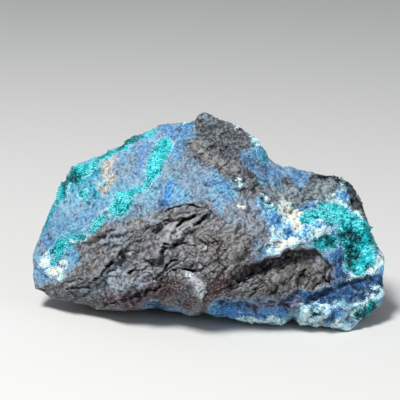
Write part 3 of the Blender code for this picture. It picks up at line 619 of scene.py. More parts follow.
STROKES = {
    "teal": [
        [(62, 190, 5), (76, 176, 12), (92, 168, 10), (100, 158, 5)], [(82, 194, 8)],
        [(100, 155, 4), (118, 149, 4), (132, 140, 4), (152, 132, 4)], [(74, 238, 8), (60, 247, 8)],
        [(143, 187, 5)], [(96, 222, 6)], [(312, 218, 8), (330, 212, 10), (346, 225, 11)],
        [(262, 147, 2), (267, 157, 3)], [(42, 232, 3), (46, 222, 5), (52, 207, 5), (57, 196, 5)],
        [(360, 312, 9)], [(262, 198, 3), (268, 201, 5), (276, 207, 5), (284, 216, 3)],
        [(90, 188, 5), (96, 196, 4)],
    ],
    # Painted light: where the left face is painted lighter.
    "sheen": [
        [(64, 232, 14), (74, 212, 18), (96, 190, 16)], [(122, 188, 12), (108, 202, 8)],
    ],
    "sky": [
        [(215, 184, 4), (224, 186, 7), (227, 194, 5)], [(212, 169, 3), (214, 175, 3)],
        [(240, 152, 6), (252, 158, 7), (262, 168, 9), (272, 179, 9), (278, 186, 5)],
        [(295, 174, 8), (303, 176, 6)], [(297, 185, 5)], [(166, 130, 7), (178, 131, 8), (188, 130, 7)],
        [(186, 142, 6), (178, 150, 6)], [(66, 224, 9), (76, 228, 8), (86, 216, 8)],
        [(48, 240, 6), (56, 226, 6)], [(92, 196, 6), (104, 200, 6)],
    ],
    "mauve": [
        [(238, 210, 7), (247, 216, 11), (255, 226, 11), (263, 238, 7)], [(226, 212, 4)],
        [(242, 200, 5), (252, 204, 6)],
    ],
    "cream": [
        [(282, 209, 6), (291, 213, 8), (297, 221, 7)], [(240, 206, 4), (247, 208, 5)], [(139, 223, 4)],
        [(276, 246, 4), (288, 242, 5), (299, 240, 3)], [(54, 270, 4)],
    ],
    "lilac": [
        [(250, 309, 5), (276, 305, 7), (294, 302, 8)],
    ],
    "umber": [
        [(240, 248, 14), (214, 250, 12), (204, 236, 8)], [(228, 282, 13), (206, 296, 9)],
        [(262, 282, 16), (286, 276, 16), (308, 276, 12)],
    ],
    # Darker places: the peak's own darker tone, and painted shade in the valley beside the peak, under
    # the scoop's brow, in recesses and low on the stone.
    "soot": [
        [(236, 282, 7), (248, 278, 9), (262, 272, 7)], [(322, 276, 5), (330, 282, 6)],
        [(206, 122, 9), (218, 134, 12), (232, 146, 9)], [(254, 178, 5), (240, 166, 4), (236, 150, 3)],
        [(249, 142, 5)], [(248, 158, 4), (258, 164, 4), (266, 172, 5)], [(277, 181, 4)],
        [(356, 200, 5), (364, 216, 4)], [(288, 181, 2)], [(242, 143, 4)],
        [(182, 292, 8), (205, 292, 9), (226, 290, 9)], [(60, 292, 5), (84, 296, 6), (110, 303, 6)],
    ],
    "violet": [
        [(142, 152, 6), (141, 162, 6), (134, 172, 4)], [(102, 210, 5), (110, 205, 5)], [(79, 256, 6)],
        [(44, 272, 5)], [(181, 138, 4)], [(52, 232, 4), (60, 214, 4)], [(160, 188, 3), (168, 210, 4)],
        [(208, 182, 4)],
    ],
    "azure": [
        [(173, 186, 3), (170, 193, 5), (167, 203, 5), (162, 209, 5)], [(273, 214, 5), (276, 222, 5)],
        [(312, 204, 5), (300, 210, 3)], [(344, 196, 6)], [(287, 231, 4), (299, 237, 4)],
        [(322, 226, 5), (334, 222, 3)], [(333, 233, 3), (337, 242, 4), (337, 252, 5), (334, 260, 4)],
        [(215, 172, 3)], [(328, 316, 6), (338, 313, 4)],
        [(216, 309, 5), (232, 312, 7), (258, 314, 8), (284, 312, 7)],
        [(316, 292, 3), (340, 288, 4), (362, 284, 4)],
    ],
    "deep": [
        [(290, 303, 9), (308, 297, 9), (335, 292, 10), (358, 288, 10), (378, 282, 9)],
        [(220, 303, 3), (240, 304, 3), (262, 307, 3), (286, 304, 4)], [(145, 304, 3), (170, 306, 5)],
        [(366, 296, 8)], [(340, 262, 5), (336, 272, 8), (342, 280, 8)], [(317, 314, 6)],
        [(166, 206, 3), (160, 207, 4)],
    ],
    "white": [
        [(44, 257, 4), (51, 268, 7), (61, 273, 5)], [(64, 263, 4)], [(150, 183, 3)],
        [(86, 233, 3), (72, 242, 2)], [(100, 214, 1.5), (108, 210, 1.5)], [(112, 216, 1.5)],
        [(159, 194, 2)], [(236, 182, 2), (238, 187, 2)], [(240, 208, 1), (246, 206, 1)],
        [(264, 198, 1.5), (272, 206, 1.5)], [(283, 210, 8), (292, 216, 10), (298, 223, 8)],
        [(330, 198, 5), (344, 205, 5)], [(343, 187, 4)], [(355, 214, 5), (358, 220, 4)],
        [(314, 231, 4), (326, 230, 4)], [(321, 220, 4)],
        [(272, 232, 3), (268, 252, 3), (278, 249, 5), (291, 244, 5), (303, 241, 3)],
        [(349, 275, 3), (362, 272, 4), (373, 267, 6), (381, 262, 5)], [(304, 312, 7), (302, 321, 5)],
        [(314, 319, 4), (325, 311, 3)],
        [(316, 307, 3), (332, 308, 2), (346, 307, 1), (360, 303, 1), (371, 299, 4), (380, 294, 4)],
        [(320, 324, 3), (345, 327, 5)], [(349, 313, 2)], [(354, 321, 2), (362, 319, 1.5)],
        [(353, 310, 2), (364, 305, 2)], [(236, 319, 3), (262, 322, 3), (284, 322, 3)],
        [(346, 182, 2), (334, 180, 1)], [(375, 288, 3)], [(252, 134, 2), (262, 144, 2)],
        [(236, 128, 2)], [(172, 124, 0.5)], [(186, 124, 0.5)],
    ],
    "tan": [
        [(107, 162, 8), (107, 174, 10), (104, 186, 7)], [(216, 160, 7), (226, 164, 4)],
        [(196, 146, 7), (204, 156, 6)], [(140, 224, 5)], [(291, 212, 3), (296, 221, 3)],
        [(285, 242, 3), (275, 246, 3)], [(103, 229, 3)], [(282, 232, 3)], [(240, 170, 5)],
        [(168, 228, 5), (178, 224, 6), (192, 218, 4)], [(168, 240, 6), (176, 234, 5)],
        [(230, 256, 7), (238, 250, 5)], [(152, 226, 4)],
    ],
    "ash": [
        [(168, 166, 9), (188, 172, 17), (204, 186, 14)], [(158, 208, 8), (148, 216, 6)],
        [(124, 172, 11), (132, 160, 7)], [(92, 234, 3), (106, 226, 4), (122, 220, 5), (142, 213, 5)],
        [(150, 152, 4), (143, 170, 4)], [(96, 208, 5)], [(230, 207, 9), (244, 216, 12), (256, 228, 9)],
        [(262, 240, 6)], [(64, 206, 4), (68, 200, 4)],
    ],
    "frost": [
        [(191, 276, 3), (196, 284, 7), (200, 292, 6)], [(206, 246, 1)], [(130, 252, 1)], [(170, 247, 1)],
    ],
    "haze": [
        [(98, 281, 5), (112, 276, 8), (122, 266, 6)], [(70, 294, 4), (88, 291, 6)],
        [(120, 234, 9), (108, 240, 6)], [(245, 218, 10), (258, 226, 6)], [(236, 214, 8)],
        [(174, 231, 5)], [(140, 284, 7)], [(150, 222, 8)], [(212, 206, 7)],
        [(100, 292, 5), (122, 286, 6)], [(204, 115, 4), (212, 119, 3)],
        [(270, 196, 5), (292, 197, 8), (312, 190, 9), (332, 184, 7)],
    ],
    # Rust-brown spots, and in shaded places low on the stone a painted warm reflection.
    "rust": [
        [(286, 241, 1.5), (291, 240, 1.5)], [(80, 243, 3)], [(238, 298, 3)],
        [(112, 302, 6), (140, 295, 10), (168, 287, 8)], [(226, 283, 9), (214, 296, 9)], [(188, 304, 6)],
        [(289, 181, 3)], [(252, 176, 4)], [(240, 270, 6), (262, 262, 4), (290, 252, 4)],
    ],
}
paint = {"green": np.maximum.reduce(list(green_of.values()))}
paint |= {name: inside_patch(brush, corners) for name, corners in PATCHES.items()}
paint |= {name: inside_strokes(brush, *strokes) for name, strokes in STROKES.items()}

# Behind the edge the skins thin out, and the slate shows with faded patches of them.
mm_places = stone * 1000
faded = {
    name: middle + reach * noise(mm_places, size, 71 + number)
    for number, (name, middle, reach, size) in enumerate([
        ("green", -9, 9, 17), ("teal", -7, 10, 21), ("slate", 4, 13, 27), ("brown", -2, 12, 31),
        ("azure", -8, 10, 19), ("deep", -4, 12, 25), ("white", -7, 9, 12), ("tan", -5, 10, 16),
        ("frost", -7, 9, 18), ("rust", -4, 9, 15), ("haze", -2, 10, 23), ("ash", -1, 10, 20),
        ("crust", -9, 10, 18), ("sky", -5, 10, 22), ("violet", -7, 10, 18), ("mauve", -5, 10, 20),
        ("soot", -6, 10, 24), ("umber", -3, 12, 33), ("sheen", -9, 6, 20), ("cream", -9, 6, 17),
        ("lilac", -9, 6, 19)])
}
turned = ease(behind / (10 + 8 * noise(mm_places, 11, 95)))
for name in paint:
    front_paint = np.clip(paint[name], -12, 12)
    paint[name] = front_paint * (1 - turned) + np.clip(faded[name], -12, 12) * turned

# Fine relief, along each point's own direction: small plates on bare rock, a sandy skin on the
# rest, sugary lumps on the white crusts.
bare = cover(paint["slate"], 6)
rocky = np.maximum(bare, cover(paint["brown"], 6))
sugar = np.maximum(cover(paint["white"], 3), 0.6 * cover(paint["crust"], 3))
pocketed = cover(paint["green"], 3)
RELIEF_STRETCH = 2.4
c, s = math.cos(-GRAIN_TURN), math.sin(-GRAIN_TURN)
grain_places = np.column_stack([
    (mm_places[:, 0] * c + mm_places[:, 2] * s) / RELIEF_STRETCH, mm_places[:, 1],
    mm_places[:, 2] * c - mm_places[:, 0] * s,
])
relief = bare * (0.4 * plates(grain_places, 3.2, 200) + 0.3 * plates(mm_places, 1.6, 210))
relief += (rocky - bare * rocky) * (0.9 * plates(mm_places, 3.6, 220) + 0.5 * plates(mm_places, 1.7, 230))
relief += rocky * 0.3 * noise(mm_places, 1.0, 240)
relief *= roughness(pixels)
sandy = 0.30 * noise(mm_places, 5.0, 241) + 0.24 * noise(mm_places, 2.2, 242)
sandy += 0.28 * noise(mm_places, 1.0, 243) - 0.45 * ease((noise(mm_places, 3.1, 244) - 0.45) / 0.3)
sandy += 1.3 * plates(mm_places, 6.0, 250) * ease((pixels[:, 0] - 150) / 90)
relief += (1 - rocky) * sandy
relief += sugar * (0.35 + 0.45 * noise(mm_places, 1.5, 245) + 0.3 * noise(mm_places, 0.8, 246))
relief += pocketed * (0.4 * noise(mm_places, 1.8, 247) + 1.3 * plates(mm_places, 3.0, 248))
# Behind the edge the rock is broken more coarsely.
relief += ease(behind / 12) * 2.2 * plates(mm_places, 11.0, 260)
settles = ease(stone[:, 2] / (1.2 * MM))
out_ways = facing(stone, stone_quads)
stone = stone + out_ways * (relief * settles * MM)[:, None]
stone[:, 2] = np.maximum(stone[:, 2], 0)
out_ways = facing(stone, stone_quads)

# Cracks darkened in the colour: partly a dark filling of their own, partly painted shade.
paint["crevice"] = cracked(pixels) / 3 * (1 - turned)

# How sunk or proud each place is, next to its surroundings: sunk places are darkened as painted shade,
# and proud edges made a little lighter.
DEEPLY_SUNK = 0.16
calm = settled(stone, stone_quads, 4)
paint["fine_sunk"] = np.clip(((calm - stone) * out_ways).sum(axis=1) / (DEEPLY_SUNK * MM), -1, 1)


def add_piece(name, points, loops, starts, values, smooth, finish):
    """A mesh from arrays: points, the corners of all faces in one row, where each face starts,
    and named numbers for each point, which its material reads."""
    mesh = bpy.data.meshes.new(name)
    mesh.vertices.add(len(points))
    mesh.vertices.foreach_set("co", np.ascontiguousarray(points, np.float32).ravel())
    mesh.loops.add(len(loops))
    mesh.loops.foreach_set("vertex_index", np.ascontiguousarray(loops, np.int32))
    mesh.polygons.add(len(starts))
    mesh.polygons.foreach_set("loop_start", np.ascontiguousarray(starts, np.int32))
    mesh.polygons.foreach_set("use_smooth", np.full(len(starts), smooth))
    mesh.update(calc_edges=True)
    mesh.validate()
    mesh.materials.append(finish.material)
    for key, numbers in values.items():
        layer = mesh.attributes.new(key, "FLOAT", "POINT")
        layer.data.foreach_set("value", np.ascontiguousarray(numbers, np.float32))
    piece = bpy.data.objects.new(name, mesh)
    bpy.context.scene.collection.objects.link(piece)
    return piece


class Wire:
    """A shader socket that can be added, multiplied and so on, as a number can."""

    def __init__(self, finish, socket):
        self.finish, self.socket = finish, socket

    def sum(self, operation, *others):
        return self.finish.node("Math", {"operation": operation}, 0, *others)

    def __add__(self, other):
        return self.sum("ADD", self, other)

    __radd__ = __add__

    def __mul__(self, other):
        return self.sum("MULTIPLY", self, other)

    __rmul__ = __mul__

    def __sub__(self, other):
        return self.sum("SUBTRACT", self, other)

    def __rsub__(self, other):
        return self.sum("SUBTRACT", other, self)


class Finish:
    """A material while it is wired up."""

    def __init__(self, name):
        self.material = bpy.data.materials.new(name)
        self.material.use_nodes = True
        self.tree = self.material.node_tree
        self.surface = self.tree.nodes["Principled BSDF"]

    def node(self, kind, settings, output, *places, **named):
        """A node of a kind, with its settings first, then its sockets by place or identifier."""
        made = self.tree.nodes.new("ShaderNode" + kind)
        for key, value in settings.items():
            setattr(made, key, value)
        sockets = {socket.identifier: socket for socket in made.inputs}
        for socket, value in list(zip(made.inputs, places)) + [(sockets[k], v) for k, v in named.items()]:
            self.plug(socket, value)
        return Wire(self, made.outputs[output])

    def plug(self, socket, value):
        if isinstance(value, Wire):
            self.tree.links.new(value.socket, socket)
        else:
            socket.default_value = value

    def give(self, looks):
        """Sets or links the surface's own sockets by name."""
        for name, value in looks.items():
            self.plug(self.surface.inputs[name], value)

    def places(self):
        """Object coordinates in millimetres."""
        metres = self.node("TexCoord", {}, "Object")
        return self.node("VectorMath", {"operation": "SCALE"}, "Vector", metres, Scale=1000.0)

    def number(self, name):
        return self.node("Attribute", {"attribute_name": name}, "Fac")

    def blend(self, amount, first, second):
        return self.node(
            "Mix", {"data_type": "RGBA"}, 2, Factor_Float=amount, A_Color=first, B_Color=second)

    def coated(self, ground, *coats):
        """A colour under coats laid one over the other, each as how far it covers and its colour."""
        for amount, coat in coats:
            ground = self.blend(amount, ground, coat)
        return ground

    def cloud(self, place, size, detail=2.0, roughness=0.5):
        """Noise from 0 to 1 with features of a size in millimetres."""
        return self.node(
            "TexNoise", {}, "Fac", Vector=place, Scale=1.0 / size, Detail=detail, Roughness=roughness)

    def between(self, value, low, high, smooth=True):
        """0 below low, 1 above high."""
        kind = "SMOOTHSTEP" if smooth else "LINEAR"
        return self.node(
            "MapRange", {"interpolation_type": kind}, "Result", Value=value,
            **{"From Min": low, "From Max": high})


def shade(red, green, blue):
    """A colour as a screen shows it, 0 to 255, as the light a surface gives back: for each part,
    ((part + 0.055) / 1.055) ** 2.4, or part / 12.92 where it is very dark."""
    parts = np.array([red, green, blue]) / 255
    light = np.where(parts < 0.04045, parts / 12.92, ((parts + 0.055) / 1.055) ** 2.4)
    return (*light.tolist(), 1.0)


rock = Finish("slaty rock under copper skins")
place = rock.places()
streaky = rock.node("Mapping", {}, "Vector", Vector=place,
                    Rotation=(0, math.radians(36), 0), Scale=(0.35, 1, 1))
speck = rock.cloud(place, 0.75, 2.0, 0.6)
grit = rock.cloud(place, 1.3, 3.0, 0.6)
mottle = rock.cloud(place, 3.0, 4.0, 0.6)
patchy = rock.cloud(place, 9.0, 3.0, 0.55)
drift = rock.cloud(place, 24.0, 2.0)
ashen = rock.cloud(place, 5.5, 4.0, 0.65)
streak = rock.cloud(streaky, 1.6, 4.0, 0.65)
grains = rock.node("TexVoronoi", {}, "Color", Vector=place, Scale=1 / 0.95)
crumbs = rock.node("TexVoronoi", {}, "Color", Vector=place, Scale=1 / 1.9)
fine_sunk = rock.number("fine_sunk")


def spread(name, ragged, soft, shift=0.0):
    """Where a painted zone holds, with its border torn by noise. Numbers are in pixels."""
    torn = rock.number(name) + shift + (mottle - 0.5) * (16 * ragged) + (grit - 0.5) * (9 * ragged)
    return rock.between(torn, -soft, soft)


# Blue skin, the ground of it all: lavender to sky blue, with dark and pale grains.
skin = rock.coated(
    shade(116, 138, 168),
    (rock.between(patchy, 0.40, 0.58), shade(92, 160, 196)),
    (rock.between(drift, 0.48, 0.60) * 0.5, shade(112, 174, 194)),
    (spread("ash", 1.0, 4) * 0.8, shade(108, 128, 144)),
    (rock.between(mottle, 0.50, 0.60) * 0.42, shade(80, 116, 158)),
    (rock.between(ashen, 0.50, 0.60) * 0.5, shade(136, 146, 160)),
    (spread("violet", 1.0, 3) * 0.65, shade(80, 120, 176)),
    (spread("sky", 1.0, 2.5) * 0.75, shade(62, 126, 178)),
    (spread("sky", 1.0, 2.5) * rock.between(mottle, 0.48, 0.41) * 0.75, shade(48, 68, 98)),
    # Painted light: the left face painted lighter.
    (spread("sheen", 0.6, 8) * 0.4, shade(132, 192, 222)),
    (spread("mauve", 1.0, 3) * 0.85, shade(116, 108, 116)),
    # Painted shade, with some darker tone of its own.
    (spread("soot", 1.0, 3) * 0.7, shade(62, 74, 94)),
    (rock.between(grains, 0.56, 0.70) * 0.24, shade(176, 212, 228)),
    (rock.between(crumbs, 0.56, 0.68) * 0.16, shade(164, 178, 200)),
    (rock.between(grains, 0.42, 0.28) * 0.34, shade(54, 84, 116)))

# Bare slate, streaked along its grain, with browner, hazy and frosted places, darker places that are
# partly painted shade, and rust-brown places that are partly a painted warm reflection.
sparkle = 0.35 + 0.65 * rock.between(speck + (grains - 0.5) * 0.2, 0.40, 0.54)
slate = rock.coated(
    shade(84, 82, 86),
    (rock.between(streak, 0.36, 0.62), shade(124, 124, 128)),
    (rock.between(drift, 0.48, 0.62) * 0.3, shade(124, 118, 110)),
    (spread("umber", 1.0, 6) * 0.65, shade(86, 76, 68)),
    (spread("haze", 1.2, 6) * 0.88, shade(138, 152, 168)),
    (spread("tan", 1.0, 4) * 0.55, shade(176, 174, 170)),
    # Painted shade, with some darker tone of its own.
    (spread("soot", 1.0, 5) * 0.6, shade(72, 68, 70)),
    # Rust-brown, partly a painted warm reflection in shaded places.
    (spread("rust", 1.0, 4) * 0.85, shade(80, 48, 50)),
    (rock.between(streak, 0.44, 0.36) * 0.4, shade(60, 58, 62)),
    (rock.between(grains, 0.60, 0.74) * 0.42, shade(164, 166, 172)),
    (rock.between(grains, 0.40, 0.28) * 0.36, shade(46, 44, 48)),
    (spread("frost", 0.5, 4, 0.5) * sparkle, shade(234, 240, 248)))

# The peak and its band, darker and duller.
brown = rock.coated(
    shade(70, 74, 80),
    (rock.between(mottle, 0.42, 0.58), shade(108, 111, 116)),
    # The peak's darker tone, with painted shade.
    (spread("soot", 1.0, 4) * 0.75, shade(62, 68, 74)),
    (spread("tan", 1.0, 4) * 0.5, shade(146, 144, 136)),
    (spread("haze", 1.0, 4) * 0.7, shade(142, 158, 166)),
    (rock.between(grains, 0.60, 0.72) * 0.36, shade(160, 162, 166)),
    (rock.between(grains, 0.42, 0.28) * 0.4, shade(40, 42, 46)),
    (spread("rust", 0.6, 1.5), shade(48, 38, 38)))

# Skins and crusts that lie on the blue skin: azurite blue, dark blue, teal, and the others.
azure = rock.coated(
    shade(46, 106, 182),
    (rock.between(grit, 0.44, 0.56), shade(84, 162, 216)),
    (rock.between(speck, 0.47, 0.40) * 0.6, shade(30, 60, 130)),
    (rock.between(mottle, 0.56, 0.64) * 0.5, shade(170, 222, 240)))
deep = rock.coated(
    shade(24, 48, 84),
    (rock.between(streak, 0.40, 0.60), shade(42, 96, 148)),
    (rock.between(mottle, 0.52, 0.62) * 0.4, shade(70, 120, 160)),
    (rock.between(grains, 0.56, 0.70) * 0.2, shade(74, 132, 180)),
    (rock.between(speck, 0.46, 0.38) * 0.7, shade(16, 22, 40)))
teal = rock.coated(
    shade(16, 120, 146),
    (rock.between(grit, 0.44, 0.56), shade(66, 178, 200)),
    (rock.between(mottle, 0.52, 0.62) * 0.6, shade(8, 96, 112)))
crust = rock.coated(
    shade(158, 218, 234),
    (rock.between(mottle + (crumbs - 0.5) * 0.35, 0.46, 0.54), shade(86, 152, 206)),
    (rock.between(grit, 0.52, 0.60) * 0.75, shade(226, 246, 248)),
    (rock.between(grains, 0.42, 0.30) * 0.7, shade(62, 104, 164)))
white = rock.coated(
    shade(232, 244, 242),
    (rock.between(crumbs, 0.50, 0.62), shade(160, 216, 232)),
    (spread("cream", 1.0, 2) * 0.85, shade(236, 226, 208)),
    (rock.between(speck, 0.46, 0.38) * 0.45, shade(104, 150, 184)))
green_bed = rock.blend(rock.between(grit, 0.42, 0.60), shade(4, 104, 112), shade(40, 188, 196))
tan = rock.coated(
    shade(160, 152, 142),
    (rock.between(grit, 0.42, 0.58), shade(216, 208, 196)),
    (rock.between(speck, 0.47, 0.40) * 0.6, shade(96, 90, 88)))

# All of them, one over the other, then the cracks darkened, partly as their own dark filling and partly
# as painted shade, painted shade in the hollows, and proud edges a little lighter.
colour = rock.coated(
    skin,
    (spread("crust", 0.8, 2.0), crust),
    (spread("tan", 0.8, 2.5) * 0.85, tan),
    (spread("azure", 0.8, 1.4) * 0.9, azure),
    (spread("deep", 0.8, 1.8), deep),
    (spread("lilac", 1.0, 2) * rock.between(streak, 0.42, 0.54) * 0.75, shade(130, 128, 146)),
    (spread("teal", 1.0, 1.6) * 0.9, teal),
    (spread("slate", 0.8, 3.5), slate),
    (spread("brown", 0.9, 4.0), brown),
    (spread("green", 0.9, 1.5, 1.2) * rock.between(patchy, 0.42, 0.56) * 0.8, shade(150, 220, 234)),
    (spread("white", 1.0, 1.2, -0.6), white),
    (spread("green", 0.5, 1.0), green_bed),
    # Painted shade, with some dark filling of their own, in cracks; painted shade in hollows; proud edges
    # a little lighter.
    (rock.between(rock.number("crevice"), 0.15, 0.9) * 0.85, shade(24, 22, 24)),
    (rock.between(fine_sunk, 0.10, 0.80) * 0.6, shade(30, 30, 36)),
    (rock.between(fine_sunk, -0.30, -1.0) * 0.14, shade(205, 222, 234)))

height = grit * 0.6 + speck * 0.4 + mottle * 0.4 + streak * 0.6
rock.give({
    "Base Color": colour,
    "Roughness": 0.92 - 0.25 * rock.between(speck, 0.55, 0.7),
    "Specular IOR Level": 0.25,
    "Normal": rock.node("Bump", {}, "Normal", Height=height, Strength=0.9, Distance=0.0011),
})

matrix = add_piece(
    "matrix_rock", stone, stone_quads.ravel(), np.arange(len(stone_quads)) * 4, paint, True, rock)
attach(matrix, "root")
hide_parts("matrix")


# The druses: thousands of short six-sided crystals of dioptase, each capped by three rhombs,
# that crowd the seams and the pocket. They grow from the rock, leaning every way.

CRYSTALS_PER_SQUARE_MM = 2.6
CRYSTAL_WIDTHS = (0.45, 0.9)  # mm
CRYSTAL_LENGTHS = (1.0, 1.8)  # widths
CRYSTAL_LEAN = 0.42
POCKET_GROWTH = 1.1  # how much wider they may be in the large pocket
ANY_TURN = (0, 6.3)


def crystal_shape():
    """A prism of width 1 with three rhombs on top: six points at its foot, six at its rim, 0.25
    and 0.5 below the tip by turns, and the tip. Rim and tip are lifted by the length later."""
    turn = np.arange(6) * math.pi / 3
    ring = np.column_stack([np.cos(turn) / 2, np.sin(turn) / 2])
    foot = np.column_stack([ring, np.zeros(6)])
    rim = np.column_stack([ring, np.where(np.arange(6) % 2, -0.25, -0.5)])
    tip = np.array([[0, 0, 0.0]])
    sides = [[i, (i + 1) % 6, 6 + (i + 1) % 6, 6 + i] for i in range(6)]
    rhombs = [[12, 6 + (i - 1) % 6, 6 + i, 6 + (i + 1) % 6] for i in (0, 2, 4)]
    return np.vstack([foot, rim, tip]), sides + rhombs + [[5, 4, 3, 2, 1, 0]]


def scattered(shape, faces, raised, roots, ways, widths, lengths, spins):
    """Copies of a shape: each is scaled by its width, its raised points lifted by its length,
    turned by its spin about its own axis, and stood on its root along its way."""
    helper = np.where(np.abs(ways[:, :1]) < 0.9, [[1.0, 0, 0]], [[0, 1.0, 0]])
    side = np.cross(helper, ways)
    side /= np.linalg.norm(side, axis=1)[:, None]
    other = np.cross(ways, side)
    c, s = np.cos(spins)[:, None], np.sin(spins)[:, None]
    side, other = side * c + other * s, other * c - side * s
    local = shape[None] * widths[:, None, None]
    local[:, raised, 2] += lengths[:, None]
    points = roots[:, None] + (
        local[..., :1] * side[:, None] + local[..., 1:2] * other[:, None]
        + local[..., 2:] * ways[:, None])
    sizes = np.array([len(face) for face in faces])
    corners = np.concatenate([np.array(face) for face in faces])
    count = len(roots)
    loops = (corners[None] + len(shape) * np.arange(count)[:, None]).ravel()
    starts = np.concatenate([[0], np.cumsum(sizes)[:-1]])
    starts = (starts[None] + sizes.sum() * np.arange(count)[:, None]).ravel()
    return points.reshape(-1, 3), loops, starts


def leaning(chosen, lean, chance):
    """Ways out of the rock at the chosen points, each leaned at random, and of length 1."""
    ways = out_ways[chosen] + chance.normal(size=(len(chosen), 3)) * lean
    return ways / np.linalg.norm(ways, axis=1)[:, None]


def crowd(strength, per_square_mm, chance):
    """Which of the stone's points carry something: each with a chance of its own area times the
    crowding times the zone's strength there."""
    a, b, c, d = (stone[stone_quads[:, i]] for i in range(4))
    area = np.linalg.norm(np.cross(c - a, d - b), axis=1) / 2 * 1e6
    share = np.zeros(len(stone))
    for i in range(4):
        share += np.bincount(stone_quads[:, i], area / 4, len(stone))
    return np.flatnonzero(chance.random(len(stone)) < share * per_square_mm * strength)


dioptase = Finish("dioptase")
tint = dioptase.number("tint")
inner = dioptase.cloud(dioptase.places(), 1.3, 2.0)
# The crystals run from dark to pale by their tint, which carries painted light and painted shade.
dioptase.give({
    "Base Color": dioptase.coated(
        shade(0, 64, 68),
        (dioptase.between(tint, 0.0, 0.62, False), shade(12, 186, 196)),
        (dioptase.between(tint + (inner - 0.5) * 0.5, 0.70, 1.05), shade(110, 222, 228))),
    "Roughness": 0.3 + 0.25 * inner,
    "Normal": dioptase.node("Bump", {}, "Normal", Height=inner, Strength=0.25, Distance=0.0002),
    "IOR": 1.66,
    "Specular IOR Level": 0.3,
})

shape, faces = crystal_shape()
on_front = behind < 3
above_table = stone[:, 2] > 2 * MM
# Towards the outline the crystals are smaller and closer together. The druses' hearts get painted
# shade, and other stretches painted light.
rim = 0.55 + 0.45 * ease(inside_patch(pixels, OUTLINE) / 9)
painted_shade_hearts = inside_strokes(
    brush, [(350, 249, 5), (355, 257, 7), (351, 265, 5)], [(346, 232, 2)],
    [(76, 176, 7), (66, 182, 5)], [(327, 244, 3)], [(358, 317, 6), (366, 311, 9)], [(56, 251, 2)],
    [(157, 172, 2)], [(164, 146, 3)], [(100, 156, 3), (118, 149, 3), (136, 139, 3)])
lit = inside_strokes(
    brush, [(142, 187, 6), (128, 197, 10), (114, 211, 8)], [(102, 219, 6), (90, 229, 6)],
    [(66, 245, 5)], [(317, 239, 4)], [(312, 217, 4), (330, 208, 3)],
    [(340, 212, 4), (350, 220, 7), (358, 229, 6)])
for number, (name, inside) in enumerate(green_of.items()):
    chance = np.random.default_rng(50 + number)
    pocket = ease((pixels[:, 0] - 335) / 15) * ease((pixels[:, 1] - 205) / 20)
    strength = cover(inside + 1.6 * noise(mm_places, 2.4, 90), 3) * on_front
    strength *= ease((383 - pixels[:, 0]) / 8) * above_table
    chosen = crowd(strength * (1 - 0.35 * pocket) / rim, CRYSTALS_PER_SQUARE_MM, chance)
    count = len(chosen)
    large = pocket[chosen]
    ways = leaning(chosen, CRYSTAL_LEAN, chance)
    core = ease(inside[chosen] / 7)
    widths = chance.uniform(*CRYSTAL_WIDTHS, count) * (0.8 + 0.4 * core) * MM
    widths *= (1 + large * chance.uniform(0, POCKET_GROWTH, count)) * rim[chosen]
    lengths = widths * chance.uniform(*CRYSTAL_LENGTHS, count)
    roots = stone[chosen] - out_ways[chosen] * (widths * 0.35)[:, None]
    points, loops, starts = scattered(
        shape, faces, slice(6, 13), roots, ways, widths, lengths, chance.uniform(*ANY_TURN, count))
    bands = noise(mm_places[chosen], 3.4, 92) + 0.6 * noise(mm_places[chosen], 7.0, 93)
    # Each crystal's lightness: its own tone, varying at random, lighter towards a druse's border and
    # darker in the large pocket, with painted light and painted shade from the strokes above.
    crystal_tone_and_painted_light = 0.66 + 0.7 * bands + 0.17 * chance.normal(size=count) + 0.15 * (1 - core) - 0.3 * large
    crystal_tone_and_painted_light += 0.52 * cover(lit[chosen], 4) - 0.7 * cover(painted_shade_hearts[chosen], 4)
    piece = add_piece(
        name + "_crystals", points, loops, starts,
        {"tint": np.repeat(np.clip(crystal_tone_and_painted_light, 0, 1), len(shape))}, False, dioptase)
    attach(piece, "root")
    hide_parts(name)


# The white crust: sugary grains of a white to pale blue mineral, strewn over the white places,
# along the druses' borders and in the seams. Each is a lump of eight facets that sits on the rock.

GRAINS_PER_SQUARE_MM = 2.2
GRAIN_WIDTHS = (0.28, 0.68)  # mm
GRAIN_LEAN = 0.5

grain = Finish("white crust")
grain.give({
    "Base Color": grain.blend(grain.number("tint"), shade(240, 250, 248), shade(150, 220, 236)),
    "Roughness": 0.45,
})

grain_shape = np.array([[0.5, 0, 0], [-0.5, 0.1, 0], [0.05, 0.5, 0.05], [0, -0.45, -0.05],
                        [0.05, 0, 0.45], [0, 0.05, -0.4]])
grain_faces = [[0, 2, 4], [2, 1, 4], [1, 3, 4], [3, 0, 4], [2, 0, 5], [1, 2, 5], [3, 1, 5], [0, 3, 5]]
chance = np.random.default_rng(77)
border = np.exp(-((paint["green"] + 1.8) / 1.6) ** 2) * ease(0.5 + 1.4 * noise(mm_places, 6.0, 94))
strength = np.clip(cover(paint["white"] + 2 * noise(mm_places, 2.0, 91), 3) + 0.7 * border, 0, 1)
creamy = cover(paint["cream"], 3)
strength *= 1 - 0.6 * creamy
chosen = crowd(strength * (behind < 6) * above_table, GRAINS_PER_SQUARE_MM, chance)
count = len(chosen)
ways = leaning(chosen, GRAIN_LEAN, chance)
widths = chance.uniform(*GRAIN_WIDTHS, count) * MM
roots = stone[chosen] + out_ways[chosen] * 0.05 * MM
points, loops, starts = scattered(
    grain_shape, grain_faces, slice(0, 0), roots, ways, widths, widths, chance.uniform(*ANY_TURN, count))
blueness = chance.beta(1.2, 1.6, count) * (1 - 0.9 * creamy[chosen])
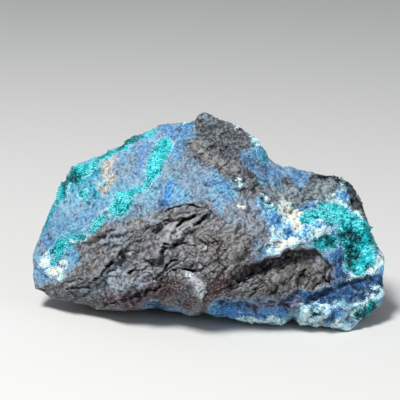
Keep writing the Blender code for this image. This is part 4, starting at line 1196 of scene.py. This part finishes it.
crust = add_piece(
    "white_crust_grains", points, loops, starts,
    {"tint": np.repeat(blueness, len(grain_shape))}, False, grain)
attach(crust, "root")


# The table, the light and the eye: a plain pale floor, a soft light from above on the left and
# weak fill, and the view that the stone was laid out for.

floor_mesh = bpy.data.meshes.new("floor")
floor_mesh.from_pydata([(-4, -4, 0), (4, -4, 0), (4, 4, 0), (-4, 4, 0)], [], [(0, 1, 2, 3)])
floor = bpy.data.objects.new("floor", floor_mesh)
bpy.context.scene.collection.objects.link(floor)
table = Finish("pale table")
table.give({"Base Color": (0.62, 0.62, 0.61, 1), "Roughness": 0.8})
floor_mesh.materials.append(table.material)

SENSOR = 36  # mm
VIEW_WIDTH = 400  # pixels
eye, target = to_world(np.array([VIEW_MIDDLE, VIEW_MIDDLE]), np.array([SEEN_FROM / MM, 0.0])) + MOVE
camera_data = bpy.data.cameras.new("camera")
camera_data.sensor_width = SENSOR
camera_data.lens = SENSOR * SEEN_FROM / (VIEW_WIDTH * PIXEL)
camera_data.clip_start = 0.01
camera = bpy.data.objects.new("camera", camera_data)
camera.location = eye
camera.rotation_euler = (Vector(target) - Vector(eye)).to_track_quat("-Z", "Y").to_euler()
bpy.context.scene.collection.objects.link(camera)
bpy.context.scene.camera = camera


def add_light(name, place, size, power, colour):
    """A square, soft light that faces the stone."""
    data = bpy.data.lights.new(name, "AREA")
    data.size, data.energy, data.color = size, power, colour
    light = bpy.data.objects.new(name, data)
    light.location = place
    light.rotation_euler = (Vector((0, 0, 0.04)) - Vector(place)).to_track_quat("-Z", "Y").to_euler()
    bpy.context.scene.collection.objects.link(light)


add_light("soft light above left", (-0.35, -0.5, 1.15), 0.3, 22, (1, 0.99, 0.97))
add_light("fill from the right", (0.9, -0.7, 0.45), 0.8, 2.5, (0.95, 0.98, 1))
world = bpy.data.worlds.new("room")
world.use_nodes = True
sky = world.node_tree.nodes["Background"].inputs
sky["Color"].default_value = (0.86, 0.93, 1, 1)
sky["Strength"].default_value = 0.26
bpy.context.scene.world = world
bpy.context.scene.view_settings.view_transform = "Standard"
